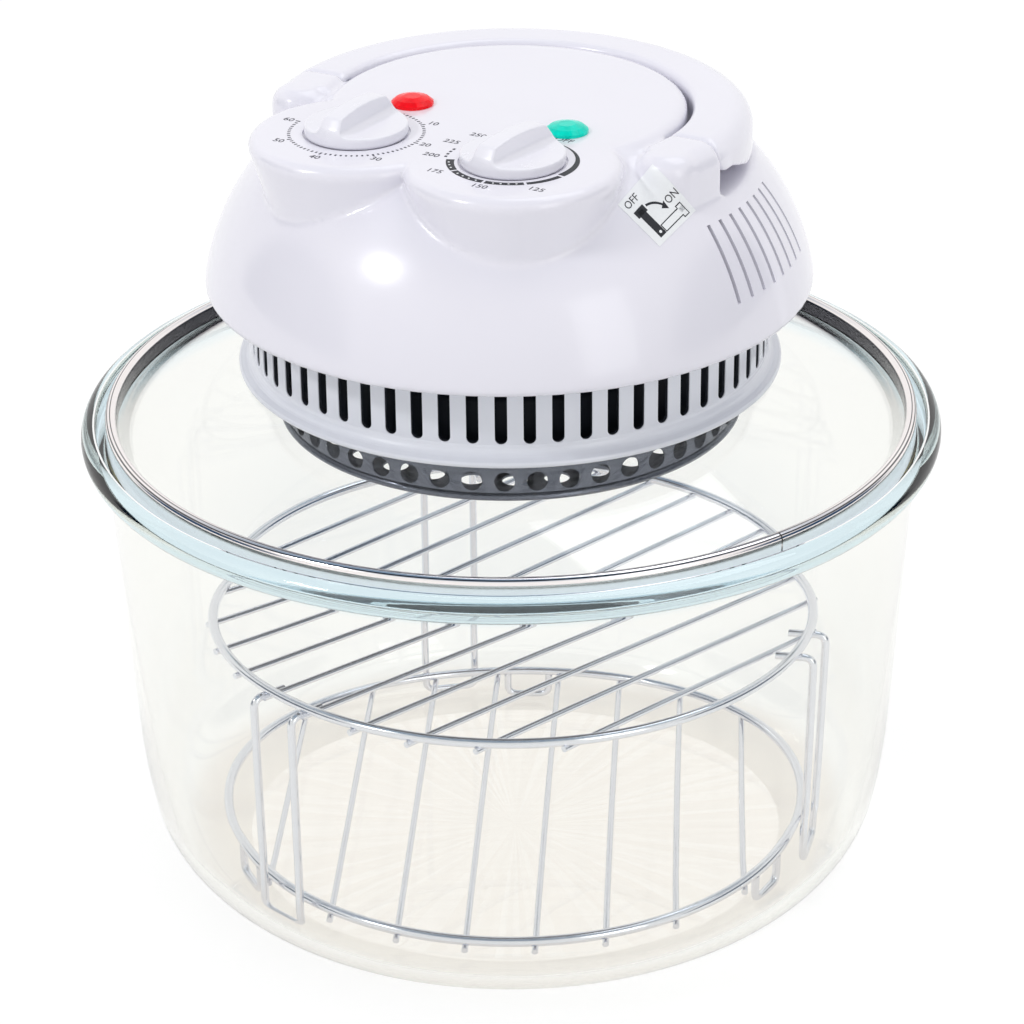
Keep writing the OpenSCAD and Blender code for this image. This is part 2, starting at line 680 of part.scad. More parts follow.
module insulation_pad() color([0.85, 0.83, 0.76])
    difference() {
        translate([0, 0, insulation_z]) cylinder(r = pad_r, h = insulation_h);
        translate([0, 0, shield_z]) cylinder(r = pad_hole_r, h = shield_h);
        at(sensor_at) translate([0, 0, shield_z]) capillary_hole(shield_h);
    }

// ---- Motor and fans ----

module motor_bridge() color([0.70, 0.71, 0.73])
    difference() {
        union() {
            translate([-bridge_l/2, -bridge_w/2, bridge_z]) cube([bridge_l, bridge_w, bridge_t]);
            for (x = [pillar_inset - motor_w/2, motor_w/2 - pillar_inset]) translate([x, 0, bridge_z])
                cylinder(r = pillar_r, h = stack_z - bridge_z - join_gap);
        }
        translate([0, 0, bridge_z - cut_over]) cylinder(r = bridge_hole_r, h = bridge_t + 2*cut_over);
        bridge_screw_holes(bridge_z);
    }
// A stack with a round bore for the rotor, and a limb behind it that the coil is wound on
module motor_core() color([0.45, 0.46, 0.48])
    translate([0, 0, stack_z]) difference() {
        translate([-motor_w/2, -motor_w/2, 0]) cube([motor_w, motor_w + core_limb, motor_core_h]);
        translate([0, 0, -cut_over]) cylinder(r = rotor_r + air_gap, h = motor_core_h + 2*cut_over);
        translate([-coil_w/2, rotor_r + core_neck, -cut_over])
            cube([coil_w, core_side - core_neck, motor_core_h + 2*cut_over]);
    }
module motor_coil() color([0.72, 0.38, 0.16])
    translate([0, motor_w/2 + core_limb/2, stack_z + motor_core_h/2]) difference() {
        cube([coil_w - 2*air_gap, core_limb + 2*coil_t, motor_core_h + 2*coil_t], center = true);
        cube([coil_w, core_limb + 2*join_gap, motor_core_h + 2*join_gap], center = true);
    }
module bearing_brackets() color([0.66, 0.67, 0.70])
    for (z = [stack_z - bracket_t - join_gap, stack_z + motor_core_h + join_gap])
        translate([0, 0, z]) difference() {
            union() {
                cylinder(r = bracket_r, h = bracket_t);
                translate([-bracket_w/2, -motor_w/2, 0]) cube([bracket_w, motor_w/2 + rotor_r, bracket_t]);
            }
            translate([0, 0, -cut_over]) cylinder(r = shaft_r + run_gap, h = bracket_t + 2*cut_over);
        }
module rotor_core() color([0.55, 0.56, 0.58])
    ring(rotor_r, shaft_r + run_gap, stack_z + rotor_inset, motor_core_h - 2*rotor_inset);
module rotor_shaft() color([0.75, 0.76, 0.78])
    translate([0, 0, shaft_bottom_z]) cylinder(r = shaft_r, h = shaft_top_z - shaft_bottom_z);

// A fan with flat blades set across a disc
module fan(r, hub_r, z, h, blades, disc_t, pitch) {
    difference() {
        union() {
            translate([0, 0, z + h - disc_t]) cylinder(r = r*fan_disc_share, h = disc_t);
            translate([0, 0, z]) cylinder(r = hub_r, h = h);
            turned([for (i = [0:blades - 1]) 360*i/blades])
                translate([hub_r - blade_t, 0, z + h/2]) rotate([pitch, 0, 0])
                    translate([0, -blade_t/2, blade_inset - h/2])
                        cube([r - hub_r, blade_t, h - 2*blade_inset]);
        }
        translate([0, 0, z - cut_over]) cylinder(r = shaft_r + run_gap, h = h + 2*cut_over);
    }
}
module convection_fan() color([0.80, 0.81, 0.83])
    fan(hot_fan_r, hot_hub_r, hot_fan_z, hot_fan_h, hot_fan_blades, hot_disc_t, 0);
module cooling_fan() color([0.22, 0.22, 0.24])
    fan(cool_fan_r, cool_hub_r, cool_fan_z, cool_fan_h, cool_fan_blades, cool_disc_t, cool_pitch);
module fan_nut() color([0.70, 0.71, 0.73]) {
    nut_h = hot_fan_z - shaft_bottom_z - join_gap;
    translate([0, 0, shaft_bottom_z]) difference() {
        cylinder(r = nut_r, h = nut_h, $fn = 6);
        translate([0, 0, -cut_over]) cylinder(r = shaft_r + run_gap, h = nut_h + 2*cut_over);
    }
}

// ---- Cover ----

// Section of the handle, and of the fixed ears that carry its line on to the front
module handle_section(z0)
    polygon(concat([[handle_in_r, z0], [handle_out_r - handle_foot_round, z0]],
        [[handle_out_r, z0 + handle_foot_round]],
        arc([handle_out_r, panel_z] - handle_outer_round*[1, 1], handle_outer_round, 0, 90, 8),
        arc([handle_in_r, panel_z] + handle_inner_round*[1, -1], handle_inner_round, 90, 180, 4)));

module dome_outside() rotate_extrude($fn = 128)
    polygon(concat([[0, cover_z], [cover_r - hem, cover_z], [cover_r - edge_cut, cover_z + edge_cut]],
        cover_line(cover_z + hem, panel_z, 0), [[0, panel_z]]));
module dome_inside() rotate_extrude($fn = 128)
    polygon(concat([[0, cover_z - cut_over], [cover_r - cover_t, cover_z - cut_over]],
        cover_line(cover_z, panel_z - cover_t, cover_t), [[0, panel_z - cover_t]]));

// A pivot ear: the handle's section carried on to a round nose
module ear() {
    low = channel_z - cover_t;
    rotate(-ear_turn) {
        rotate_extrude(angle = ear_turn - asin(-channel_front_y/handle_out_r) + 1) handle_section(low);
        translate([(handle_in_r + handle_out_r)/2, 0, 0])
            puck(handle_w/2, low - ear_drop, panel_z, ear_round);
    }
}
module head_cover() color([0.95, 0.95, 0.98])
    difference() {
        union() {
            difference() {
                dome_outside();
                difference() {
                    ring(cover_r, panel_r, channel_z, panel_z - channel_z + cut_over);
                    translate([-cover_r, -2*cover_r + channel_front_y, channel_z - cut_over])
                        cube([2*cover_r, 2*cover_r, cover_h]);
                }
            }
            puck(panel_r, channel_z - cover_t, panel_z, panel_edge_r);
            for (p = dials) at(p) puck(lobe_r, cover_z + lobe_rise, panel_z, panel_edge_r, lobe_draft);
            difference() {
                union() {
                    ear();
                    mirror([1, 0, 0]) ear();
                }
                translate([-cover_r, channel_front_y, channel_z]) cube([2*cover_r, cover_r, cover_h]);
            }
            intersection() {
                dome_outside();
                turned(cover_screw_turns) translate([cover_screw_r, 0, skirt_top_z + join_gap])
                    cylinder(r = boss_r, h = boss_h);
            }
        }
        cover_hollow();
        for (p = dials) at(p) {
            translate([0, 0, panel_z - dial_recess]) cylinder(r = knob_r + dial_side_gap, h = 2*cut_over);
            translate([0, 0, panel_z - cover_t - cut_over])
                cylinder(r = dial_shaft_r + shaft_hole_gap, h = 2*cover_t);
        }
        for (p = lenses) at(p) translate([0, 0, panel_z - cover_t - cut_over])
            cylinder(r = lens_stem_r + join_gap, h = 2*cover_t);
        for (x = [-panel_r, panel_r]) translate([x, 0, pivot_z]) rotate([0, 90, 0])
            cylinder(r = handle_pin_r + join_gap, h = pivot_boss_w - 2*cut_over, center = true);
        at(plunger_at) translate([0, 0, channel_z - cover_t - cut_over])
            cylinder(r = plunger_r + plunger_gap, h = cover_t + 2*cut_over, $fn = 24);
        for (s = [0, 1]) mirror([s, 0, 0])
            turned([for (i = [0:side_vents - 1]) side_vent_turn + side_vent_pitch*i])
                translate([cover_r - side_vent_depth, -side_vent_w/2, side_vent_z])
                    cube([side_vent_depth + cut_over, side_vent_w, side_vent_l]);
        translate([0, cover_r + cut_over, gland_z]) rotate([90, 0, 0])
            cylinder(r = gland_r + join_gap, h = gland_l);
    }
// The space inside the cover's shell, with its screw bosses left standing
module cover_hollow() difference() {
    union() {
        difference() {
            dome_inside();
            difference() {
                ring(cover_r, panel_r - cover_t, channel_z - cover_t, cover_h);
                translate([-cover_r, -2*cover_r + channel_front_y - cover_t, channel_z - cover_t - cut_over])
                    cube([2*cover_r, 2*cover_r, cover_h]);
            }
        }
        translate([0, 0, channel_z - 5*cover_t])
            cylinder(r = panel_r - cover_t, h = panel_z - channel_z + 4*cover_t);
        for (p = dials) at(p) puck(lobe_r - cover_t, cover_z + lobe_rise + cover_t,
            panel_z - cover_t, panel_edge_r, lobe_draft);
    }
    turned(cover_screw_turns) translate([cover_screw_r, 0, skirt_top_z + join_gap]) difference() {
        cylinder(r = boss_r, h = boss_h);
        translate([0, 0, -cut_over]) cylinder(r = screw_r + join_gap, h = boss_bore_l, $fn = 24);
    }
    for (x = [-panel_r, panel_r]) translate([x - pivot_boss_w/2, -handle_hub_r, pivot_z - handle_hub_r])
        cube([pivot_boss_w, 2*handle_hub_r, cover_h]);
}

// ---- Controls ----

module timer_unit() color([0.88, 0.88, 0.85]) at(dials[0])
    difference() {
        union() {
            translate([0, 0, unit_top_z - timer_h]) cylinder(r = timer_r, h = timer_h - plate_t);
            translate([-timer_plate_w/2, -timer_plate_w/2, unit_top_z - plate_t])
                cube([timer_plate_w, timer_plate_w, plate_t]);
        }
        dial_bore();
    }
module timer_bell() color([0.72, 0.70, 0.62]) at(dials[0])
    translate([0, 0, unit_top_z - timer_h - join_gap]) rotate_extrude()
        polygon(concat([for (a = [0:15:90]) [bell_r*sin(a), -bell_h*(1 - cos(a))]],
            [for (a = [90:-15:0]) [(bell_r - bell_t)*sin(a), -bell_h*(1 - cos(a)) - bell_t]]));
module thermostat_unit() color([0.88, 0.88, 0.85]) at(dials[1])
    difference() {
        union() {
            translate([0, 0, unit_top_z - thermostat_h])
                cylinder(r = thermostat_r, h = thermostat_h - plate_t);
            translate([-thermostat_plate[0]/2, -thermostat_plate[1]/2, unit_top_z - plate_t])
                cube([thermostat_plate[0], thermostat_plate[1], plate_t]);
        }
        dial_bore();
    }
module dial_bore() translate([0, 0, unit_top_z - dial_shaft_l - cut_over])
    cylinder(r = dial_shaft_r + run_gap, h = dial_shaft_l + 2*cut_over);
// The thermostat's bulb in the heater, and the fine tube up to the unit
module capillary_sensor() color([0.72, 0.45, 0.25]) at(sensor_at) {
    tube_top = unit_top_z - thermostat_h - join_gap;
    bulb_z = reflector_z - 2*reflector_rise - sensor_l;
    translate([0, 0, bulb_z]) cylinder(r = sensor_r, h = sensor_l, $fn = 24);
    translate([0, 0, bulb_z + cut_over])
        cylinder(r = capillary_r, h = tube_top - bulb_z - cut_over, $fn = 24);
}
module dial_shaft(p) at(p) translate([0, 0, unit_top_z - dial_shaft_l])
    cylinder(r = dial_shaft_r, h = knob_z + knob_h - knob_roof - unit_top_z + dial_shaft_l);
module timer_shaft() color([0.75, 0.76, 0.78]) dial_shaft(dials[0]);
module thermostat_shaft() color([0.75, 0.76, 0.78]) dial_shaft(dials[1]);

// A round knob with a raised grip bar between two low floors
module knob() difference() {
    rotate_extrude() polygon(concat([[0, 0], [knob_r - edge_cut, 0], [knob_r, edge_cut]],
        arc([knob_r - knob_side_r, knob_side_z], knob_side_r, 0, knob_shoulder_turn, 4),
        arc([0, knob_h - knob_crown_r], knob_crown_r, acos((knob_r - knob_shoulder)/knob_crown_r), 90, 5)));
    for (s = [0, 1]) mirror([0, s, 0]) translate([-knob_r - cut_over, 0, 0]) rotate([90, 0, 90])
        linear_extrude(2*knob_r + 2*cut_over) polygon(concat(
            [[knob_bar_w/2, knob_h + cut_over]],
            arc([knob_bar_w/2 + bar_flare + bar_foot_r, knob_floor_h + bar_foot_r], bar_foot_r, 180, 270, 5),
            [[knob_r + cut_over, knob_floor_h], [knob_r + cut_over, knob_h + cut_over]]));
    translate([0, 0, -cut_over]) ring(knob_r - knob_wall_t, knob_boss_r, 0, knob_hollow_h + cut_over);
    translate([0, 0, -cut_over])
        cylinder(r = dial_shaft_r + run_gap, h = knob_h - knob_roof + cut_over + join_gap);
}
module timer_knob() color([0.96, 0.96, 0.98])
    at(dials[0]) translate([0, 0, knob_z]) rotate(timer_bar_turn) knob();
module thermostat_knob() color([0.96, 0.96, 0.98])
    at(dials[1]) translate([0, 0, knob_z]) rotate(thermostat_bar_turn) knob();

// A jewel lens: a low facetted dome on a stem through the panel
module lens(p) at(p) {
    translate([0, 0, panel_z + join_gap]) cylinder(r = lens_r, h = lens_girdle_h);
    translate([0, 0, panel_z + join_gap + lens_girdle_h])
        cylinder(r1 = lens_r, r2 = lens_r*lens_table, h = lens_h - lens_girdle_h);
    translate([0, 0, panel_z - 2*cover_t]) cylinder(r = lens_stem_r, h = 2*cover_t + join_gap);
}
module power_lens() color([0.85, 0.05, 0.08]) lens(lenses[0]);
module heat_lens() color([0.02, 0.60, 0.50]) lens(lenses[1]);
module lamp_sockets() color([0.30, 0.30, 0.32])
    for (p = lenses) at(p) translate([0, 0, panel_z - cover_t - socket_h])
        difference() {
            cylinder(r = socket_r, h = socket_h - join_gap);
            translate([0, 0, socket_floor]) cylinder(r = lens_stem_r + join_gap, h = socket_h);
        }

// ---- Handle and its interlock ----

module handle_side_bores() for (x = [-handle_in_r, handle_in_r]) translate([x, 0, pivot_z])
    rotate([0, 90, 0]) cylinder(r = handle_pin_r + run_gap, h = handle_w, center = true);
module carry_handle() color([0.95, 0.95, 0.98])
    difference() {
        union() {
            difference() {
                rotate_extrude(angle = 180, $fn = 128) handle_section(handle_z);
                translate([-cover_r, -cut_over, handle_z - cut_over])
                    rotate([90, 0, 90]) linear_extrude(2*cover_r)
                    polygon([[0, 0], [arm_rise_y + cut_over, 0], [arm_rise_y + cut_over, cut_over],
                             [handle_hub_r, pivot_z - handle_hub_r - handle_z + cut_over],
                             [0, pivot_z - handle_hub_r - handle_z + cut_over]]);
            }
            intersection() {
                rotate_extrude($fn = 128) handle_section(handle_z);
                translate([-cover_r, 0, pivot_z]) rotate([0, 90, 0])
                    cylinder(r = handle_hub_r, h = 2*cover_r);
            }
        }
        handle_side_bores();
    }
module handle_pins() color([0.75, 0.76, 0.78])
    for (x = [-handle_in_r, handle_in_r]) translate([x, 0, pivot_z]) rotate([0, 90, 0])
        cylinder(r = handle_pin_r, h = pin_l, center = true);
module safety_switch() color([0.15, 0.15, 0.17])
    rotate(plunger_turn) translate([norm(plunger_at), 0, 0])
        translate([0, 0, channel_z - cover_t - join_gap - switch_h]) difference() {
            translate([-switch_d/2, -switch_w/2, 0]) cube([switch_d, switch_w, switch_h]);
            translate([0, 0, switch_bore_z]) cylinder(r = plunger_r + plunger_gap, h = switch_h, $fn = 24);
        }
module switch_plunger() color([0.80, 0.20, 0.15])
    at(plunger_at) translate([0, 0, channel_z - cover_t - plunger_tail])
        cylinder(r = plunger_r, h = channel_gap - seat_gap + cover_t + plunger_tail, $fn = 24);

// ---- Wiring and fasteners ----

module cord_gland() color([0.93, 0.93, 0.95])
    translate([0, cover_at(gland_z - gland_flange_r) + gland_flange_t + join_gap, gland_z]) rotate([90, 0, 0])
        difference() {
            union() {
                cylinder(r = gland_r, h = gland_l);
                cylinder(r = gland_flange_r, h = gland_flange_t);
            }
            translate([0, 0, -cut_over]) cylinder(r = gland_bore_r, h = gland_l + 2*cut_over);
        }
module terminal_block() color([0.93, 0.92, 0.86])
    translate([-block_l/2, block_y, skirt_top_z + join_gap]) difference() {
        cube([block_l, block_w, block_w]);
        for (i = [-1:1]) translate([block_l/2 + i*block_pitch, block_w/2, block_w/2]) {
            cylinder(r = block_screw_r, h = block_w, $fn = 24);
            rotate([90, 0, 0]) cylinder(r = block_wire_r, h = 2*block_w, center = true, $fn = 24);
        }
    }
// A screw that points up, with its head's top face at z
module screw_up(z, l) translate([0, 0, z - screw_head_h]) {
    cylinder(r = screw_head_r, h = screw_head_h, $fn = 24);
    cylinder(r = screw_r, h = screw_head_h + l, $fn = 24);
}
module cover_screws() color([0.70, 0.71, 0.73])
    turned(cover_screw_turns) translate([cover_screw_r, 0, 0])
        screw_up(skirt_top_z - skirt_t - join_gap, cover_screw_l);
module bridge_screws() color([0.70, 0.71, 0.73])
    turned([0, 180]) translate([bridge_screw_r, 0, 0])
        screw_up(skirt_top_z - skirt_t - join_gap, skirt_t + bridge_t + screw_tail);
module guard_screws() color([0.70, 0.71, 0.73])
    turned(guard_screw_turns) translate([guard_screw_r, 0, 0])
        screw_up(guard_top_z - guard_t - join_gap, 2*guard_t + screw_tail);

glass_bowl();
low_rack();
low_rack_bars();
high_rack();
lid_glass();
lid_rim_band();
glass_gasket();
vent_skirt();
heater_guard();
reflector_pan();
halogen_lamp();
lamp_holders();
heat_shield();
insulation_pad();
motor_bridge();
motor_core();
motor_coil();
bearing_brackets();
rotor_core();
rotor_shaft();
convection_fan();
cooling_fan();
fan_nut();
head_cover();
timer_unit();
timer_bell();
timer_shaft();
timer_knob();
thermostat_unit();
capillary_sensor();
thermostat_shaft();
thermostat_knob();
power_lens();
heat_lens();
lamp_sockets();
carry_handle();
handle_pins();
safety_switch();
switch_plunger();
cord_gland();
terminal_block();
cover_screws();
bridge_screws();
guard_screws();
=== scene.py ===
"""Looks of a countertop halogen oven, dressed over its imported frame.

The glass, the moulded head, the wires and the printing are modelled here inside the frame's own boxes.
The frame's other pieces keep their shapes and get their finishes. Outlines are written in millimetres and
meshes in metres.
"""

import logging
import math
from dataclasses import dataclass, field
from enum import Enum
from typing import Any, Callable, Iterable, Optional, Sequence, Union

import bmesh
import bpy
from mathutils import Matrix, Vector
from mathutils.bvhtree import BVHTree


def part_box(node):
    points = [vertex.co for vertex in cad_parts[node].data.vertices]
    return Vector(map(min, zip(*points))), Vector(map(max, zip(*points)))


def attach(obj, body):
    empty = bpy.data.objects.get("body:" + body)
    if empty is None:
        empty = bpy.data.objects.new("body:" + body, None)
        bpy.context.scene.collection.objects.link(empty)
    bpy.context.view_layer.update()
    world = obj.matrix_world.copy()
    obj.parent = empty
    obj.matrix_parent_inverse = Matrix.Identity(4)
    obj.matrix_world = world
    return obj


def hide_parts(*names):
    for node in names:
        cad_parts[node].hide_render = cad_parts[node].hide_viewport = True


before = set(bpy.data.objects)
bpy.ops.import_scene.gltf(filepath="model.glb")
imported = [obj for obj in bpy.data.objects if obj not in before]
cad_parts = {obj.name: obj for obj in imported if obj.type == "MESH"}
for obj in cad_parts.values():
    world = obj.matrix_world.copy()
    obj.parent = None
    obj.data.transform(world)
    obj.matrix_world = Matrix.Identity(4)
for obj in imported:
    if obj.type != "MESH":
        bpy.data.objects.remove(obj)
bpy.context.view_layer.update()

LOG = logging.getLogger("halogen_oven")
MM = 0.001
MERGE_SOLID = 1e-6
MERGE_WIRE = 1e-7
WHITE = (1.0, 1.0, 1.0, 1.0)
BMesh = bmesh.types.BMesh
Object = bpy.types.Object
Material = bpy.types.Material
Outline = list[tuple[float, float]]
Wire = tuple[list[Vector], float, bool]
Colour = tuple[float, float, float]
Number = Union["Value", float]
SCREWS = ("cover_screws", "bridge_screws", "guard_screws")
BOWL_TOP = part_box("glass_bowl")[1].z / MM
BAND_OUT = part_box("lid_rim_band")[1].x / MM


# ---- Shader maths ----


def maths(operation: str, swapped: bool = False) -> Callable[["Value", Number], "Value"]:
    """Makes the operator that adds one Math node.

    Args:
        operation: The node's operation.
        swapped: Whether the other operand comes first.

    Returns:
        The operator.
    """

    def operator(own: "Value", other: Number) -> "Value":
        """Adds the node and gives its result."""
        first, second = (other, own) if swapped else (own, other)
        return own.shader.node("ShaderNodeMath", {"operation": operation}, {0: first, 1: second})

    return operator


class Value:
    """A shader socket whose Python operators add the Math nodes for them."""

    __add__, __radd__ = maths("ADD"), maths("ADD", swapped=True)
    __sub__, __rsub__ = maths("SUBTRACT"), maths("SUBTRACT", swapped=True)
    __mul__, __rmul__ = maths("MULTIPLY"), maths("MULTIPLY", swapped=True)

    def __init__(self, shader: "Shader", socket: bpy.types.NodeSocket) -> None:
        """Wraps one output socket of a shader."""
        self.shader = shader
        self.socket = socket

    def __abs__(self) -> "Value":
        """The value without its sign."""
        return self.shader.node("ShaderNodeMath", {"operation": "ABSOLUTE"}, {0: self})


class Shader:
    """One material's node tree, which every finish builds through one method."""

    def __init__(self, name: str) -> None:
        """Starts an empty material.

        Args:
            name: The material's name.
        """
        self.material = bpy.data.materials.new(name)
        self.material.use_nodes = True
        self.tree = self.material.node_tree
        self.tree.nodes.clear()

    @classmethod
    def of_world(cls, world: bpy.types.World) -> "Shader":
        """Starts an empty node tree for a world."""
        made = cls.__new__(cls)
        made.material = None
        world.use_nodes = True
        made.tree = world.node_tree
        made.tree.nodes.clear()
        return made

    def node(
        self,
        kind: str,
        settings: Optional[dict[str, Any]] = None,
        inputs: Optional[dict[Any, Any]] = None,
        output: Any = 0,
    ) -> Value:
        """Adds a node, sets it up and feeds its sockets.

        Args:
            kind: The node's type.
            settings: The node's properties; "stops" holds a ramp's (place, colour) pairs.
            inputs: Values or links by socket name or number.
            output: The output socket's name or number.

        Returns:
            The chosen output.
        """
        made = self.tree.nodes.new(kind)
        for key, setting in (settings or {}).items():
            if key == "stops":
                self._set_stops(made.color_ramp, setting)
            else:
                setattr(made, key, setting)
        for key, value in (inputs or {}).items():
            if isinstance(value, Value):
                self.tree.links.new(value.socket, made.inputs[key])
            else:
                made.inputs[key].default_value = value
        return Value(self, made.outputs[output])

    @staticmethod
    def _set_stops(ramp: bpy.types.ColorRamp, stops: Sequence[tuple[float, Colour]]) -> None:
        """Fills a ramp with its stops."""
        while len(ramp.elements) < len(stops):
            ramp.elements.new(1.0)
        for element, (place, colour) in zip(ramp.elements, stops):
            element.position = place
            element.color = (*colour, 1.0)

    def place(self, scale: tuple[float, float, float] = (1.0, 1.0, 1.0)) -> Value:
        """Object coordinates in metres, stretched.

        Args:
            scale: The stretch along each axis.

        Returns:
            The coordinates.
        """
        raw = self.node("ShaderNodeTexCoord", output="Object")
        return self.node("ShaderNodeMapping", {}, {"Vector": raw, "Scale": scale}, "Vector")

    def radius(self) -> Value:
        """The distance from the upright axis, in metres."""
        level = (1.0, 1.0, 0.0)
        flat = self.node("ShaderNodeVectorMath", {"operation": "MULTIPLY"}, {0: self.place(), 1: level})
        return self.node("ShaderNodeVectorMath", {"operation": "LENGTH"}, {0: flat}, 1)

    def ray(self, kind: str) -> Value:
        """Whether the ray is of one kind, as 1 or 0."""
        return self.node("ShaderNodeLightPath", output=f"Is {kind} Ray")

    def noise(self, where: Value, size_mm: float, detail: float = 3.0, roughness: float = 0.5) -> Value:
        """Soft noise from 0 to 1.

        Args:
            where: The coordinates it reads.
            size_mm: The size of its blotches.
            detail: The number of finer layers.
            roughness: The strength of the finer layers.

        Returns:
            The noise.
        """
        sockets = {"Vector": where, "Scale": 1.0 / (size_mm * MM), "Detail": detail, "Roughness": roughness}
        return self.node("ShaderNodeTexNoise", {}, sockets, "Fac")

    def blend(self, factor: Number, low: Any, high: Any) -> Value:
        """Mixes two colours by a factor."""
        settings = {"data_type": "RGBA", "clamp_factor": True}
        return self.node("ShaderNodeMix", settings, {0: factor, 6: low, 7: high}, 2)

    def span(self, value: Value, ends: tuple[float, float]) -> Value:
        """A smooth step from 0 to 1 between two values."""
        sockets = {"Value": value, "From Min": ends[0], "From Max": ends[1]}
        return self.node("ShaderNodeMapRange", {"interpolation_type": "SMOOTHSTEP"}, sockets)

    def bump(self, height: Value, depth_mm: float, strength: float) -> Value:
        """Turns a height into a normal.

        Args:
            height: The height, from 0 to 1.
            depth_mm: The height of 1.
            strength: The effect's strength.

        Returns:
            The normal.
        """
        sockets = {"Height": height, "Distance": depth_mm * MM, "Strength": strength}
        return self.node("ShaderNodeBump", {}, sockets, "Normal")

    def principled(self, **sockets: Any) -> Value:
        """Adds the main shader; a keyword's underscores stand for the spaces of its socket's name."""
        named = {key.replace("_", " "): value for key, value in sockets.items()}
        return self.node("ShaderNodeBsdfPrincipled", {}, named, "BSDF")

    def finish(self, surface: Value, depth: Optional[Value] = None) -> Material:
        """Joins the surface, and the depth under it, to the output and returns the material."""
        output = self.tree.nodes.new("ShaderNodeOutputMaterial")
        self.tree.links.new(surface.socket, output.inputs["Surface"])
        if depth is not None:
            self.tree.links.new(depth.socket, output.inputs["Volume"])
        return self.material


def rgba(colour: Colour, gain: float = 1.0) -> tuple[float, float, float, float]:
    """A colour with its brightness scaled, as a socket takes it."""
    return (colour[0] * gain, colour[1] * gain, colour[2] * gain, 1.0)


# ---- Finishes ----


@dataclass(frozen=True)
class GlossMoulding:
    """Glossy moulded plastic, with a faint orange peel, marks in its gloss and, if wanted, a dark inside
    painted as shade.
    """

    colour: Colour
    roughness: float = 0.2
    peel_mm: float = 0.012
    coat: float = 0.35
    painted_shade_within_mm: float = 0.0
    painted_shade_edge_mm: float = 0.05
    painted_shade_colour: Colour = (0.02, 0.024, 0.034)

    def build(self, name: str) -> Material:
        """Makes the material."""
        s = Shader(name)
        where = s.place()
        clouds = s.noise(where, 45.0, 2.0)
        marks = s.noise(where, 12.0, 4.0, 0.6)
        peel = s.noise(where, 2.2, 1.0)
        grain = s.noise(where, 0.35, 1.0)
        base = s.blend(clouds, rgba(self.colour, 0.975), rgba(self.colour, 1.015))
        rough = self.roughness + (marks - 0.5) * 0.09 + (grain - 0.5) * 0.04
        # Inside the given radius the colour turns near-black, with a rougher gloss: painted shade for the
        # shadow behind the vent slots.
        if self.painted_shade_within_mm > 0:
            edges = (self.painted_shade_within_mm + self.painted_shade_edge_mm, self.painted_shade_within_mm - self.painted_shade_edge_mm)
            inside = s.span(s.radius(), (edges[0] * MM, edges[1] * MM))
            base = s.blend(inside, base, rgba(self.painted_shade_colour))
            rough = rough + inside * 0.4
        return s.finish(
            s.principled(
                Base_Color=base,
                Roughness=rough,
                Normal=s.bump(peel, self.peel_mm, 0.35),
                Coat_Weight=self.coat,
                Coat_Roughness=0.06,
                IOR=1.49,
            )
        )


@dataclass(frozen=True)
class ClearGlass:
    """Clear pressed glass, with the slow waves of its mould, a coloured depth and zones of other tints."""

    tint: Colour
    wave_mm: float = 0.05
    wave_size_mm: float = 38.0
    shade: Colour = (0.93, 0.945, 0.95)
    depth_colour: Colour = (0.65, 0.60, 0.38)
    depth_density: float = 13.0
    zones: tuple[tuple[float, float, Colour], ...] = ()

    def build(self, name: str) -> Material:
        """Makes the material, with light passing through it to the floor."""
        s = Shader(name)
        where = s.place((1.0, 1.0, 0.5))
        waves = s.noise(where, self.wave_size_mm, 1.0)
        film = s.noise(s.place(), 22.0, 3.0)
        tint = s.blend(film, rgba(self.tint, 0.992), rgba(self.tint))
        level = s.node("ShaderNodeSeparateXYZ", {}, {0: s.place()}, "Z")
        for start, end, colour in self.zones:
            tint = s.blend(s.span(level, (start * MM, end * MM)), tint, rgba(colour))
        glass = s.principled(
            Base_Color=tint,
            Roughness=0.004 + film * 0.008,
            Normal=s.bump(waves, self.wave_mm, 0.25),
            Transmission_Weight=1.0,
            IOR=1.47,
        )
        clear = s.node("ShaderNodeBsdfTransparent", {}, {"Color": rgba(self.shade)})
        depth = {"Color": rgba(self.depth_colour), "Density": self.depth_density}
        mixed = s.node("ShaderNodeMixShader", {}, {0: s.ray("Shadow"), 1: glass, 2: clear})
        return s.finish(mixed, s.node("ShaderNodeVolumeAbsorption", {}, depth, "Volume"))


@dataclass(frozen=True)
class BrightMetal:
    """Plated, drawn or rolled metal, with fine lines that can run round the upright axis and thin dark rings
    of painted shade at some radii.
    """

    colour: Colour
    roughness: float = 0.12
    line_mm: float = 0.0
    round_lines: bool = False
    dirt: float = 0.05
    shade_creases: tuple[tuple[float, float], ...] = ()
    crease_shade_colour: Colour = (0.06, 0.06, 0.07)

    def build(self, name: str) -> Material:
        """Makes the material."""
        s = Shader(name)
        where = s.place()
        film = s.noise(where, 14.0, 4.0, 0.6)
        gains = (1.0 - self.dirt, 1.0 + 0.5 * self.dirt)
        base = s.blend(film, rgba(self.colour, gains[0]), rgba(self.colour, gains[1]))
        rough = self.roughness + (film - 0.5) * 0.08
        # Each ring is a thin dark line of painted shade at one radius, standing for the shadow in a fold or
        # gap.
        for radius, width in self.shade_creases:
            crease_shade = s.span(abs(s.radius() - radius * MM), (width * MM, 0.5 * width * MM))
            base = s.blend(crease_shade, base, rgba(self.crease_shade_colour))
        sockets: dict[str, Any] = {"Base_Color": base, "Metallic": 1.0}
        if self.line_mm > 0:
            stretch = (0.04, 0.04, 1.0) if self.round_lines else (1.0, 0.05, 1.0)
            lines = s.noise(s.place(stretch), 0.25, 2.0)
            rough = rough + (lines - 0.5) * 0.12
            sockets["Normal"] = s.bump(lines, self.line_mm, 0.5)
        else:
            sockets["Normal"] = s.bump(s.noise(where, 1.4, 2.0), 0.006, 0.4)
        return s.finish(s.principled(Roughness=rough, **sockets))


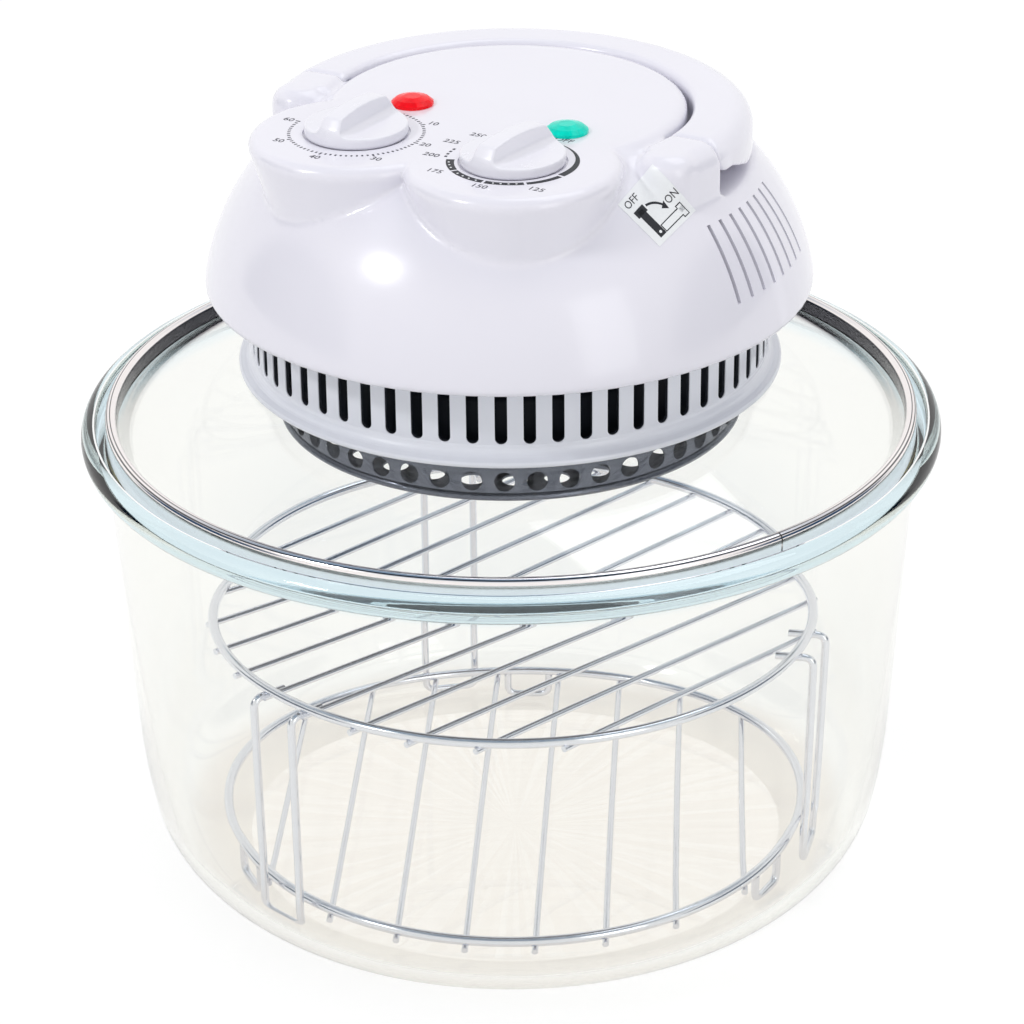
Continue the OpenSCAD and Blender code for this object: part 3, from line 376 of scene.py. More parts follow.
@dataclass(frozen=True)
class DeepEnamel:
    """Dark fired enamel on sheet steel."""

    colour: Colour
    roughness: float = 0.16

    def build(self, name: str) -> Material:
        """Makes the material."""
        s = Shader(name)
        where = s.place()
        flow = s.noise(where, 5.0, 3.0)
        base = s.blend(flow, rgba(self.colour, 0.8), rgba(self.colour, 1.25))
        return s.finish(
            s.principled(
                Base_Color=base,
                Roughness=self.roughness + (flow - 0.5) * 0.1,
                Normal=s.bump(flow, 0.03, 0.4),
                IOR=1.3,
            )
        )


@dataclass(frozen=True)
class Jewel:
    """Clear coloured plastic of a signal lens, with a painted glow for light shining through it."""

    colour: Colour
    glow: float = 0.3

    def build(self, name: str) -> Material:
        """Makes the material."""
        s = Shader(name)
        depth = s.noise(s.place(), 3.0, 2.0)
        base = s.blend(depth, rgba(self.colour, 0.72), rgba(self.colour, 1.15))
        return s.finish(
            s.principled(
                Base_Color=base,
                Roughness=0.1 + depth * 0.1,
                IOR=1.28,
                # The emission is a painted glow, standing for the light that passes through the coloured
                # plastic.
                Emission_Color=s.blend(depth, rgba(self.colour, 0.5), rgba(self.colour)),
                Emission_Strength=self.glow,
            )
        )


@dataclass(frozen=True)
class Matt:
    """A dull surface: ceramic, fibre, rubber, paper, ink or bare moulding."""

    colour: Colour
    roughness: float = 0.6
    grain_size_mm: float = 0.8
    grain_mm: float = 0.03
    spread: float = 0.12

    def build(self, name: str) -> Material:
        """Makes the material."""
        s = Shader(name)
        grain = s.noise(s.place(), self.grain_size_mm, 4.0, 0.6)
        gains = (1.0 - self.spread, 1.0 + 0.5 * self.spread)
        base = s.blend(grain, rgba(self.colour, gains[0]), rgba(self.colour, gains[1]))
        return s.finish(
            s.principled(
                Base_Color=base,
                Roughness=self.roughness + (grain - 0.5) * 0.15,
                Normal=s.bump(grain, self.grain_mm, 0.5),
            )
        )


@dataclass(frozen=True)
class WoundWire:
    """Enamelled copper winding, turn beside turn."""

    colour: Colour
    pitch_mm: float = 0.5
    turns_per_scale: float = 0.314

    def build(self, name: str) -> Material:
        """Makes the material."""
        s = Shader(name)
        settings = {"wave_type": "BANDS", "bands_direction": "X"}
        scale = self.turns_per_scale / (self.pitch_mm * MM)
        turns = s.node("ShaderNodeTexWave", settings, {"Vector": s.place(), "Scale": scale}, "Fac")
        # The darker bands between the turns are painted shade in the grooves.
        base = s.blend(turns, rgba(self.colour, 0.45), rgba(self.colour, 1.1))
        rough, normal = 0.3 + turns * 0.1, s.bump(turns, 0.2, 0.7)
        return s.finish(s.principled(Base_Color=base, Metallic=0.7, Roughness=rough, Normal=normal))


class Finish(Enum):
    """The finishes of this oven, each with the material that makes it."""

    SHELL = GlossMoulding((0.835, 0.825, 0.905))
    # Within 100.6 mm of the axis the skirt is painted shade, for the shadow behind its slots.
    SKIRT = GlossMoulding((0.80, 0.82, 0.89), roughness=0.24, painted_shade_within_mm=100.6)
    KNOB = GlossMoulding((0.845, 0.84, 0.91), roughness=0.26, coat=0.2)
    BOWL_GLASS = ClearGlass(
        (0.985, 0.992, 0.99),
        zones=((17.0, 8.0, (0.91, 0.875, 0.84)), (BOWL_TOP - 17.0, BOWL_TOP - 10.0, (0.74, 0.89, 0.97))),
    )
    LID_GLASS = ClearGlass((0.985, 0.992, 0.99), wave_mm=0.03)
    RACK_WIRE = BrightMetal((0.78, 0.79, 0.84), roughness=0.12)
    RIM_STEEL = BrightMetal(
        (0.92, 0.87, 0.86),
        roughness=0.16,
        line_mm=0.004,
        round_lines=True,
        # The three dark rings are painted shade: the shadow at the band's inner edge and in its folds.
        shade_creases=((BAND_OUT - 4.6, 0.45), (BAND_OUT - 2.0, 0.24), (BAND_OUT - 0.8, 0.26)),
    )
    # The guard's near-black colour is painted shade from the skirt above it and a painted dark reflection,
    # not the chrome's own colour.
    GUARD_CHROME = BrightMetal((0.13, 0.14, 0.17), roughness=0.2)
    REFLECTOR = BrightMetal((0.86, 0.87, 0.88), roughness=0.22, line_mm=0.005, round_lines=True)
    ZINC = BrightMetal((0.66, 0.68, 0.70), roughness=0.3, line_mm=0.006)
    GROUND_STEEL = BrightMetal((0.70, 0.71, 0.73), roughness=0.18, line_mm=0.003)
    FAN_SHEET = BrightMetal((0.80, 0.81, 0.82), roughness=0.28, line_mm=0.006)
    LAMINATIONS = BrightMetal((0.34, 0.35, 0.37), roughness=0.45, line_mm=0.02, round_lines=True, dirt=0.2)
    BELL = BrightMetal((0.74, 0.62, 0.34), roughness=0.22)
    SHIELD = DeepEnamel((0.010, 0.013, 0.02), roughness=0.55)
    COPPER = WoundWire((0.75, 0.36, 0.16))
    CAPILLARY = BrightMetal((0.82, 0.46, 0.28), roughness=0.25)
    QUARTZ = Matt((0.92, 0.92, 0.88), roughness=0.25, spread=0.04)
    CERAMIC = Matt((0.88, 0.86, 0.80), roughness=0.7)
    FIBRE = Matt((0.80, 0.77, 0.68), roughness=0.95, grain_size_mm=1.6, grain_mm=0.4)
    SILICONE = Matt((0.62, 0.63, 0.66), roughness=0.55)
    UNIT = Matt((0.80, 0.78, 0.70), roughness=0.5)
    BLACK_MOULDING = Matt((0.02, 0.02, 0.022), roughness=0.42)
    RED_MOULDING = Matt((0.62, 0.06, 0.05), roughness=0.4)
    RED_JEWEL = Jewel((0.80, 0.004, 0.010))
    GREEN_JEWEL = Jewel((0.0, 0.60, 0.47))
    INK = Matt((0.035, 0.033, 0.055), roughness=0.5, spread=0.25)
    BAND_INK = Matt((0.012, 0.012, 0.018), roughness=0.5, spread=0.25)
    STICKER = Matt((0.90, 0.92, 0.945), roughness=0.35, grain_size_mm=0.4, grain_mm=0.004, spread=0.03)

    def material(self) -> Material:
        """The finish's material, made on first use."""
        name = "finish_" + self.name.lower()
        return bpy.data.materials.get(name) or self.value.build(name)


def dress(piece: Object, finish: Finish) -> None:
    """Gives a whole piece one finish."""
    piece.data.materials.clear()
    piece.data.materials.append(finish.material())


# ---- Mesh work ----


def arc(centre: tuple[float, float], radius: float, start: float, end: float, steps: int = 12) -> Outline:
    """Points along an arc, from one angle to another, in degrees."""
    angles = [math.radians(start + (end - start) * i / steps) for i in range(steps + 1)]
    return [(centre[0] + radius * math.cos(a), centre[1] + radius * math.sin(a)) for a in angles]


def revolve(outline: Outline, steps: int = 160, closed: bool = False, gap_deg: float = 0.0) -> BMesh:
    """Turns an outline round the upright axis.

    Args:
        outline: Radius and height pairs, in millimetres.
        steps: The number of steps in the turn.
        closed: Whether the outline is a loop clear of the axis.
        gap_deg: The part of the turn left out, as a butt joint; the ends are then closed.

    Returns:
        The turned mesh, with its faces outwards.
    """
    bm = bmesh.new()
    verts = [bm.verts.new((r * MM, 0.0, z * MM)) for r, z in outline]
    pairs = list(zip(verts, verts[1:] + verts[:1])) if closed else list(zip(verts, verts[1:]))
    geometry: list[Any] = verts + [bm.edges.new(pair) for pair in pairs]
    if gap_deg > 0:
        geometry.append(bm.faces.new(verts))
    bmesh.ops.spin(
        bm,
        geom=geometry,
        cent=(0, 0, 0),
        axis=(0, 0, 1),
        angle=math.radians(360.0 - gap_deg),
        steps=steps,
        use_merge=gap_deg == 0,
        use_duplicate=False,
    )
    bmesh.ops.remove_doubles(bm, verts=bm.verts, dist=MERGE_SOLID)
    bmesh.ops.recalc_face_normals(bm, faces=bm.faces)
    return bm


def turned(bm: BMesh, angle: float, pivot: Sequence[float] = (0, 0, 0)) -> BMesh:
    """Turns a mesh about the upright axis through a point, in degrees and millimetres."""
    centre = Vector(pivot) * MM
    bmesh.ops.rotate(bm, verts=bm.verts, cent=centre, matrix=Matrix.Rotation(math.radians(angle), 3, "Z"))
    return bm


def moved(bm: BMesh, x: float, y: float, z: float) -> BMesh:
    """Moves a mesh, in millimetres."""
    bmesh.ops.translate(bm, verts=bm.verts, vec=Vector((x, y, z)) * MM)
    return bm


def bar(size: Sequence[float], centre: Sequence[float]) -> BMesh:
    """A square-edged cutter or tick, by its size and centre in millimetres."""
    bm = bmesh.new()
    bmesh.ops.create_cube(bm, size=1.0)
    bmesh.ops.scale(bm, verts=bm.verts, vec=Vector(size) * MM)
    return moved(bm, *centre)


def slab(outline: Outline, low: float, high: float) -> BMesh:
    """A flat shape between two heights, by its outline seen from above, in millimetres."""
    bm = bmesh.new()
    face = bm.faces.new([bm.verts.new((x * MM, y * MM, low * MM)) for x, y in outline])
    raised = bmesh.ops.extrude_face_region(bm, geom=[face])["geom"]
    lift = [item for item in raised if isinstance(item, bmesh.types.BMVert)]
    bmesh.ops.translate(bm, verts=lift, vec=(0, 0, (high - low) * MM))
    bmesh.ops.recalc_face_normals(bm, faces=bm.faces)
    return bm


def netted(bm: BMesh, step: float) -> BMesh:
    """Cuts a flat mesh into a net of small faces, so that it can follow a curved surface."""
    for axis in (0, 1):
        low, high = (pick(v.co[axis] for v in bm.verts) / MM for pick in (min, max))
        for i in range(1, math.ceil((high - low) / step)):
            place, normal = Vector((0, 0, 0)), Vector((0, 0, 0))
            place[axis], normal[axis] = (low + i * step) * MM, 1.0
            whole = [*bm.verts, *bm.edges, *bm.faces]
            bmesh.ops.bisect_plane(bm, geom=whole, plane_co=place, plane_no=normal)
    return bm


def middle(node: str) -> Vector:
    """The middle of a frame node's box, in millimetres."""
    low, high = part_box(node)
    return (low + high) / 2 / MM


def copied(mesh: bpy.types.Mesh) -> BMesh:
    """Copies a mesh, to work on it."""
    bm = bmesh.new()
    bm.from_mesh(mesh)
    return bm


def linked(name: str, data: Any) -> Object:
    """Puts an object of some data into the scene."""
    made = bpy.data.objects.new(name, data)
    bpy.context.scene.collection.objects.link(made)
    return made


def meshed(curve: bpy.types.Curve) -> bpy.types.Mesh:
    """Turns a curve into a mesh, and removes the curve."""
    helper = linked(curve.name, curve)
    graph = bpy.context.evaluated_depsgraph_get()
    mesh = bpy.data.meshes.new_from_object(helper.evaluated_get(graph))
    bpy.data.objects.remove(helper)
    bpy.data.curves.remove(curve)
    return mesh


def drum(radius: float, low: float, high: float, sides: int = 48) -> BMesh:
    """An upright round cutter between two heights, in millimetres."""
    return revolve([(0, low), (radius, low), (radius, high), (0, high)], sides)


def gathered(parts: Iterable[BMesh]) -> BMesh:
    """Puts several meshes into one, and frees them."""
    whole = bmesh.new()
    for part in parts:
        scratch = bpy.data.meshes.new("scratch")
        part.to_mesh(scratch)
        part.free()
        whole.from_mesh(scratch)
        bpy.data.meshes.remove(scratch)
    return whole


def as_object(name: str, bm: BMesh, sharp_deg: float = 38.0) -> Object:
    """Makes a smooth-shaded object of a mesh, with its sharp edges kept.

    Args:
        name: The object's name.
        bm: The mesh, which is freed.
        sharp_deg: The angle from which an edge is sharp.

    Returns:
        The object.
    """
    mesh = bpy.data.meshes.new(name)
    bm.to_mesh(mesh)
    bm.free()
    made = linked(name, mesh)
    smoothed(made, sharp_deg)
    return made


def smoothed(piece: Object, sharp_deg: float = 38.0) -> None:
    """Shades a piece smooth, up to the angle at which its edges are sharp."""
    piece.data.shade_smooth()
    piece.data.set_sharp_from_angle(angle=math.radians(sharp_deg))


def settled(piece: Object) -> Object:
    """Applies a piece's modifiers."""
    graph = bpy.context.evaluated_depsgraph_get()
    mesh = bpy.data.meshes.new_from_object(piece.evaluated_get(graph))
    old = piece.data
    piece.modifiers.clear()
    piece.data = mesh
    mesh.name = piece.name
    bpy.data.meshes.remove(old)
    return piece


def combined(piece: Object, tool: BMesh, operation: str) -> Object:
    """Joins a tool's solid to a piece or cuts it away.

    Args:
        piece: The piece to change.
        tool: The tool's closed mesh, which is freed.
        operation: DIFFERENCE or UNION.

    Returns:
        The piece.
    """
    helper = as_object("tool", tool)
    step = piece.modifiers.new("combine", "BOOLEAN")
    step.operation = operation
    step.solver = "MANIFOLD"
    step.object = helper
    settled(piece)
    mesh = helper.data
    bpy.data.objects.remove(helper)
    bpy.data.meshes.remove(mesh)
    return piece


def softened(piece: Object, voxel_mm: float, passes: int) -> Object:
    """Melts a piece's overlapping solids into one skin with rounded inner and outer corners.

    Args:
        piece: The piece of overlapping closed solids.
        voxel_mm: The size of the new skin's faces.
        passes: How often the skin is relaxed.

    Returns:
        The piece.
    """
    remesh = piece.modifiers.new("skin", "REMESH")
    remesh.mode = "VOXEL"
    remesh.voxel_size = voxel_mm * MM
    relax = piece.modifiers.new("relax", "SMOOTH")
    relax.factor = 0.5
    relax.iterations = passes
    return settled(piece)


def wire(name: str, paths: Sequence[Wire], sides: int = 4) -> Object:
    """Bends round wires along their paths and makes one mesh of them.

    Args:
        name: The object's name.
        paths: For each wire its points in millimetres, its radius and whether it is a closed ring.
        sides: The resolution of the round section.

    Returns:
        The object.
    """
    meshes = []
    for points, radius, closed in paths:
        curve = bpy.data.curves.new("wire", "CURVE")
        curve.dimensions = "3D"
        curve.bevel_depth = radius * MM
        curve.bevel_resolution = sides
        curve.use_fill_caps = not closed
        spline = curve.splines.new("POLY")
        spline.points.add(len(points) - 1)
        for knot, point in zip(spline.points, points):
            knot.co = (*(point * MM), 1.0)
        spline.use_cyclic_u = closed
        meshes.append(meshed(curve))
    whole = bmesh.new()
    for mesh in meshes:
        whole.from_mesh(mesh)
        bpy.data.meshes.remove(mesh)
    bmesh.ops.remove_doubles(whole, verts=whole.verts, dist=MERGE_WIRE)
    bmesh.ops.recalc_face_normals(whole, faces=whole.faces)
    return as_object(name, whole, 60.0)


def bent(corners: Sequence[Vector], trim: float, steps: int = 6) -> list[Vector]:
    """Rounds the inner corners of a path.

    Args:
        corners: The path's corners, in millimetres.
        trim: How far from a corner its bend starts.
        steps: The number of steps in a bend.

    Returns:
        The rounded path.
    """
    path = [corners[0]]
    for before, corner, after in zip(corners, corners[1:], corners[2:]):
        start = corner + (before - corner).normalized() * trim
        end = corner + (after - corner).normalized() * trim
        for i in range(steps + 1):
            t = i / steps
            path.append(start * (1 - t) ** 2 + corner * 2 * t * (1 - t) + end * t**2)
    return path + [corners[-1]]


def lettering(words: str, height: float, place: Matrix, depth: float = 0.08) -> BMesh:
    """Raised letters, centred on a place.

    Args:
        words: The letters or digits.
        height: The size of the type, in millimetres.
        place: Where their middle lies and how it is turned, in metres.
        depth: How far they stand proud, in millimetres.

    Returns:
        The letters' mesh.
    """
    curve = bpy.data.curves.new("letters", "FONT")
    curve.body = words
    curve.size = height * MM
    curve.extrude = depth * MM / 2
    curve.align_x = "CENTER"
    curve.align_y = "CENTER"
    curve.resolution_u = 3
    mesh = meshed(curve)
    bm = copied(mesh)
    bpy.data.meshes.remove(mesh)
    bmesh.ops.remove_doubles(bm, verts=bm.verts, dist=MERGE_WIRE)
    bmesh.ops.transform(bm, matrix=place, verts=bm.verts)
    return bm


def placed(x: float, y: float, z: float, turn_deg: float = 0.0) -> Matrix:
    """A place in millimetres, turned about the upright axis."""
    return Matrix.Translation(Vector((x, y, z)) * MM) @ Matrix.Rotation(math.radians(turn_deg), 4, "Z")


def printed_arc(outer: float, widths: tuple[float, float], start: float, end: float) -> Outline:
    """The outline of a printed arc whose width changes along it, with its outer edge on a circle."""
    steps = max(2, round(abs(end - start) / 3.0))
    outline = arc((0.0, 0.0), outer, start, end, steps)
    for i in range(steps, -1, -1):
        share = i / steps
        radius = outer - widths[0] * (1 - share) - widths[1] * share
        angle = math.radians(start + (end - start) * share)
        outline.append((radius * math.cos(angle), radius * math.sin(angle)))
    return outline


# ---- Sub-assemblies ----


@dataclass
class Assembly:
    """A sub-assembly, which records the pieces that it makes."""

    made: list[str] = field(default_factory=list)

    def add(
        self,
        piece: Object,
        finish: Finish,
        body: str,
        slot: str,
        stands_for: Sequence[str] = (),
    ) -> Object:
        """Dresses a new piece and fixes it to its body.

        Args:
            piece: The new piece.
            finish: Its finish.
            body: The body that it rides on.
            slot: A material slot's name, which is not used.
            stands_for: The frame's nodes that it replaces.

        Returns:
            The piece.
        """
        dress(piece, finish)
        if stands_for:
            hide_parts(*stands_for)
        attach(piece, body)
        self.made.append(piece.name)
        LOG.info("%s: %s, %d faces, on %s", type(self).__name__, piece.name, len(piece.data.polygons), body)
        return piece


@dataclass
class Bowl(Assembly):
    """The glass bowl: a leaning wall with a belly, a thick round rim and a ledge for the lid."""

    rim_r: float = 170.0
    edge_r: float = 5.5
    neck_r: float = 161.0
    wall: float = 5.0
    corner_r: float = 40.0
    belly_r: float = 280.0
    lean: float = 3.3
    belly_lean: float = 10.0
    ledge_w: float = 8.0
    ledge_depth: float = 7.5
    neck_gap: float = 2.0
    lip_round: float = 1.2
    ledge_round: float = 0.8
    inner_round: float = 1.0

    def outline(self) -> Outline:
        """The bowl's section, from the axis over the outside and back inside."""
        rim_z = BOWL_TOP - self.edge_r
        neck_z = rim_z - self.edge_r - self.neck_gap
        lean, belly = math.radians(self.lean), math.radians(self.belly_lean)
        corner_top = self.corner_r * (1 - math.sin(belly))
        join_z = corner_top + self.belly_r * (math.sin(belly) - math.sin(lean))
        join_r = self.neck_r - (neck_z - join_z) * math.tan(lean)
        belly_c = (join_r - self.belly_r * math.cos(lean), join_z + self.belly_r * math.sin(lean))
        corner_c = (belly_c[0] + (self.belly_r - self.corner_r) * math.cos(belly), self.corner_r)

        def line(inset: float) -> Outline:
            """The bowl's side, moved inwards."""
            corner = arc(corner_c, self.corner_r - inset, -90, -self.belly_lean, 20)
            return corner + arc(belly_c, self.belly_r - inset, -self.belly_lean, -self.lean, 10)[1:]

        ledge_z = BOWL_TOP - self.ledge_depth
        ledge_in = self.neck_r - self.wall
        ledge_out = ledge_in + self.ledge_w
        lip_r, ledge_r, inner_r = self.lip_round, self.ledge_round, self.inner_round
        outside = [(0.0, 0.0)] + line(0.0) + arc((self.neck_r + lip_r, neck_z + 0.4), lip_r, 180, 130, 3)
        rim = arc((self.rim_r - self.edge_r, rim_z), self.edge_r, -65, 90, 18)
        lip = arc((ledge_out + lip_r, BOWL_TOP - lip_r), lip_r, 90, 180, 4)
        ledge = arc((ledge_out - ledge_r, ledge_z + ledge_r), ledge_r, 0, -90, 3)
        inner_edge = arc((ledge_in + inner_r, ledge_z - inner_r), inner_r, 90, 180, 4)
        inside = [(ledge_in, neck_z - 3.0)] + list(reversed(line(self.wall)))
        return outside + rim + lip + ledge + inner_edge + inside + [(0.0, self.wall)]

    def build(self) -> None:
        """Makes the bowl."""
        bowl = as_object("bowl_glass", revolve(self.outline(), 192), 50.0)
        self.add(bowl, Finish.BOWL_GLASS, "bowl", "clear_glass", ["glass_bowl"])


@dataclass
class Racks(Assembly):
    """The two wire racks: a ring, parallel bars under it, and U-shaped legs."""

    ring_r: float = 119.5
    ring_wire: float = 2.0
    bar_wire: float = 1.3
    leg_wire: float = 1.6
    weld: float = 0.7
    stub: float = 3.0
    bend: float = 4.5
    high_pitch: float = 22.0
    high_turn: float = 73.0
    high_legs: tuple[float, ...] = (-108.0, 12.0, 132.0)
    high_leg_w: float = 22.0
    leg_gap: float = 2.4
    low_pitch: float = 27.0
    low_turn: float = 116.0
    low_leg_w: float = 18.0
    ring_steps: int = 128
    bar_margin: float = 12.0
    leg_stub: float = 9.0

    def ring(self, z: float) -> Wire:
        """The rack's round wire."""
        turns = [math.tau * i / self.ring_steps for i in range(self.ring_steps)]
        points = [Vector((self.ring_r * math.cos(a), self.ring_r * math.sin(a), z)) for a in turns]
        return points, self.ring_wire, True

    def bars(self, height: float, pitch: float, turn: float) -> list[Wire]:
        """The rack's parallel bars, welded under the ring."""
        count = math.floor((self.ring_r - self.bar_margin) / pitch - 0.5)
        spin = Matrix.Rotation(math.radians(turn), 3, "Z")
        rods = []
        for i in range(-count - 1, count + 1):
            y = (i + 0.5) * pitch
            half = math.sqrt(self.ring_r**2 - y**2) + self.stub
            rods.append(([spin @ Vector((s * half, y, height)) for s in (-1, 1)], self.bar_wire, False))
        return rods

    def leg(self, turn: float, corners: Sequence[Vector]) -> Wire:
        """A bent leg, turned to its place."""
        spin = Matrix.Rotation(math.radians(turn), 3, "Z")
        return [spin @ p for p in bent(corners, self.bend)], self.leg_wire, False

    def build(self) -> None:
        """Makes both racks."""
        foot, ring_z = self.heights("high_rack")
        bar_z = ring_z - self.ring_wire - self.bar_wire + self.weld
        paths = [self.ring(ring_z)] + self.bars(bar_z, self.high_pitch, self.high_turn)
        rack = wire("high_rack_wires", paths + self.high_frame(ring_z, foot))
        self.add(rack, Finish.RACK_WIRE, "high_rack", "rack_wire", ["high_rack"])
        foot, ring_z = self.heights("low_rack")
        paths = [self.ring(ring_z)] + self.bars(middle("low_rack_bars").z, self.low_pitch, self.low_turn)
        rack = wire("low_rack_wires", paths + self.low_frame(ring_z, foot))
        self.add(rack, Finish.RACK_WIRE, "low_rack", "rack_wire", ["low_rack", "low_rack_bars"])

    def heights(self, name: str) -> tuple[float, float]:
        """The heights of a rack's feet and of its ring, to the wires' centres."""
        low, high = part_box(name)
        return low.z / MM + self.leg_wire, high.z / MM - self.ring_wire

    def high_frame(self, ring_z: float, foot: float) -> list[Wire]:
        """The high rack's legs, which start as stubs under the ring."""
        out = self.ring_r + self.ring_wire + self.leg_gap + self.leg_wire
        top = ring_z - self.ring_wire - self.leg_wire + self.weld
        half = self.high_leg_w / 2
        start = self.ring_r - self.leg_stub
        corners = [Vector(p) for p in ((start, -half, top), (out, -half, top), (out, -half, foot))]
        corners += [Vector(p) for p in ((out, half, foot), (out, half, top), (start, half, top))]
        return [self.leg(turn, corners) for turn in self.high_legs]

    def low_frame(self, ring_z: float, foot: float) -> list[Wire]:
        """The low rack's legs, straight down from the ring."""
        half = self.low_leg_w / 2
        top = ring_z - self.ring_wire + self.weld
        ends = ((-half, top), (-half, foot), (half, foot), (half, top))
        corners = [Vector((self.ring_r, y, z)) for y, z in ends]
        return [self.leg(self.low_turn + 120.0 * i, corners) for i in range(3)]


@dataclass
class Lid(Assembly):
    """The domed glass lid and the steel band folded round its edge."""

    glass_t: float = 3.6
    sphere_r: float = 300.0
    hole_r: float = 94.0
    band_t: float = 0.8
    band_w: float = 4.6
    clearance: float = 0.1
    seam_deg: float = 0.22
    seam_turn: float = -23.0
    lip_gap: float = 0.6
    edge_round: float = 0.8
    fold_round: float = 0.7
    chamfer: float = 0.4
    dome_steps: int = 24

    def build(self) -> None:
        """Makes the lid's glass and its band."""
        band_low, band_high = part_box("lid_rim_band")
        z, inset = band_low.z / MM, self.band_t + self.clearance
        self.glass(z + inset, BAND_OUT - inset, BAND_OUT - self.band_w - self.lip_gap)
        self.band(z, band_high.z / MM, BAND_OUT)

    def glass(self, edge_z: float, edge_r: float, lip_r: float) -> None:
        """Makes the glass.

        Args:
            edge_z: The height of the underside of its edge.
            edge_r: The radius of its edge.
            lip_r: The radius at which the dome meets the flat edge.
        """
        centre_z = edge_z + self.glass_t - math.sqrt(self.sphere_r**2 - lip_r**2)

        def dome(radius: float, start: float, end: float) -> Outline:
            """Points of the dome between two radii."""
            steps = self.dome_steps
            radii = [start + (end - start) * i / steps for i in range(steps + 1)]
            return [(r, centre_z + math.sqrt(radius**2 - r**2)) for r in radii]

        under = [(r, max(z, edge_z)) for r, z in dome(self.sphere_r - self.glass_t, lip_r, self.hole_r)]
        bead = self.edge_round
        edge = arc((edge_r - bead, edge_z + self.glass_t - bead), bead, 90, 0, 4)
        edge += arc((edge_r - bead, edge_z + bead), bead, 0, -90, 4)
        outline = dome(self.sphere_r, self.hole_r, lip_r) + edge + under
        lid = as_object("lid_dome_glass", revolve(outline, 192, closed=True), 50.0)
        self.add(lid, Finish.LID_GLASS, "lid", "clear_glass", ["lid_glass"])

    def band(self, z: float, top: float, out: float) -> None:
        """Makes the band, a folded channel with a rolled top edge and one butt joint.

        Args:
            z: The height of its underside.
            top: The height of its top.
            out: Its outer radius.
        """
        bead = self.band_w / 2
        roll = (out - bead, top - bead)
        mouth = z + self.band_t + self.glass_t + 2 * self.clearance
        t = self.band_t
        inner = out - self.band_w
        fold, chamfer = self.fold_round, self.chamfer
        outline = [(inner, mouth), (inner, top - bead)] + arc(roll, bead, 180, 0, 16)[1:]
        outline += arc((out - fold, z + fold), fold, 0, -90, 5)
        outline += [(inner + chamfer, z), (inner, z + chamfer), (inner, z + t)]
        outline += [(out - t, z + t), (out - t, top - bead)] + arc(roll, bead - t, 0, 180, 12)[1:]
        outline += [(inner + t, mouth)]
        band = revolve(outline, 200, closed=True, gap_deg=self.seam_deg)
        made = as_object("lid_band", turned(band, self.seam_turn), 50.0)
        self.add(made, Finish.RIM_STEEL, "lid", "rim_steel", ["lid_rim_band"])


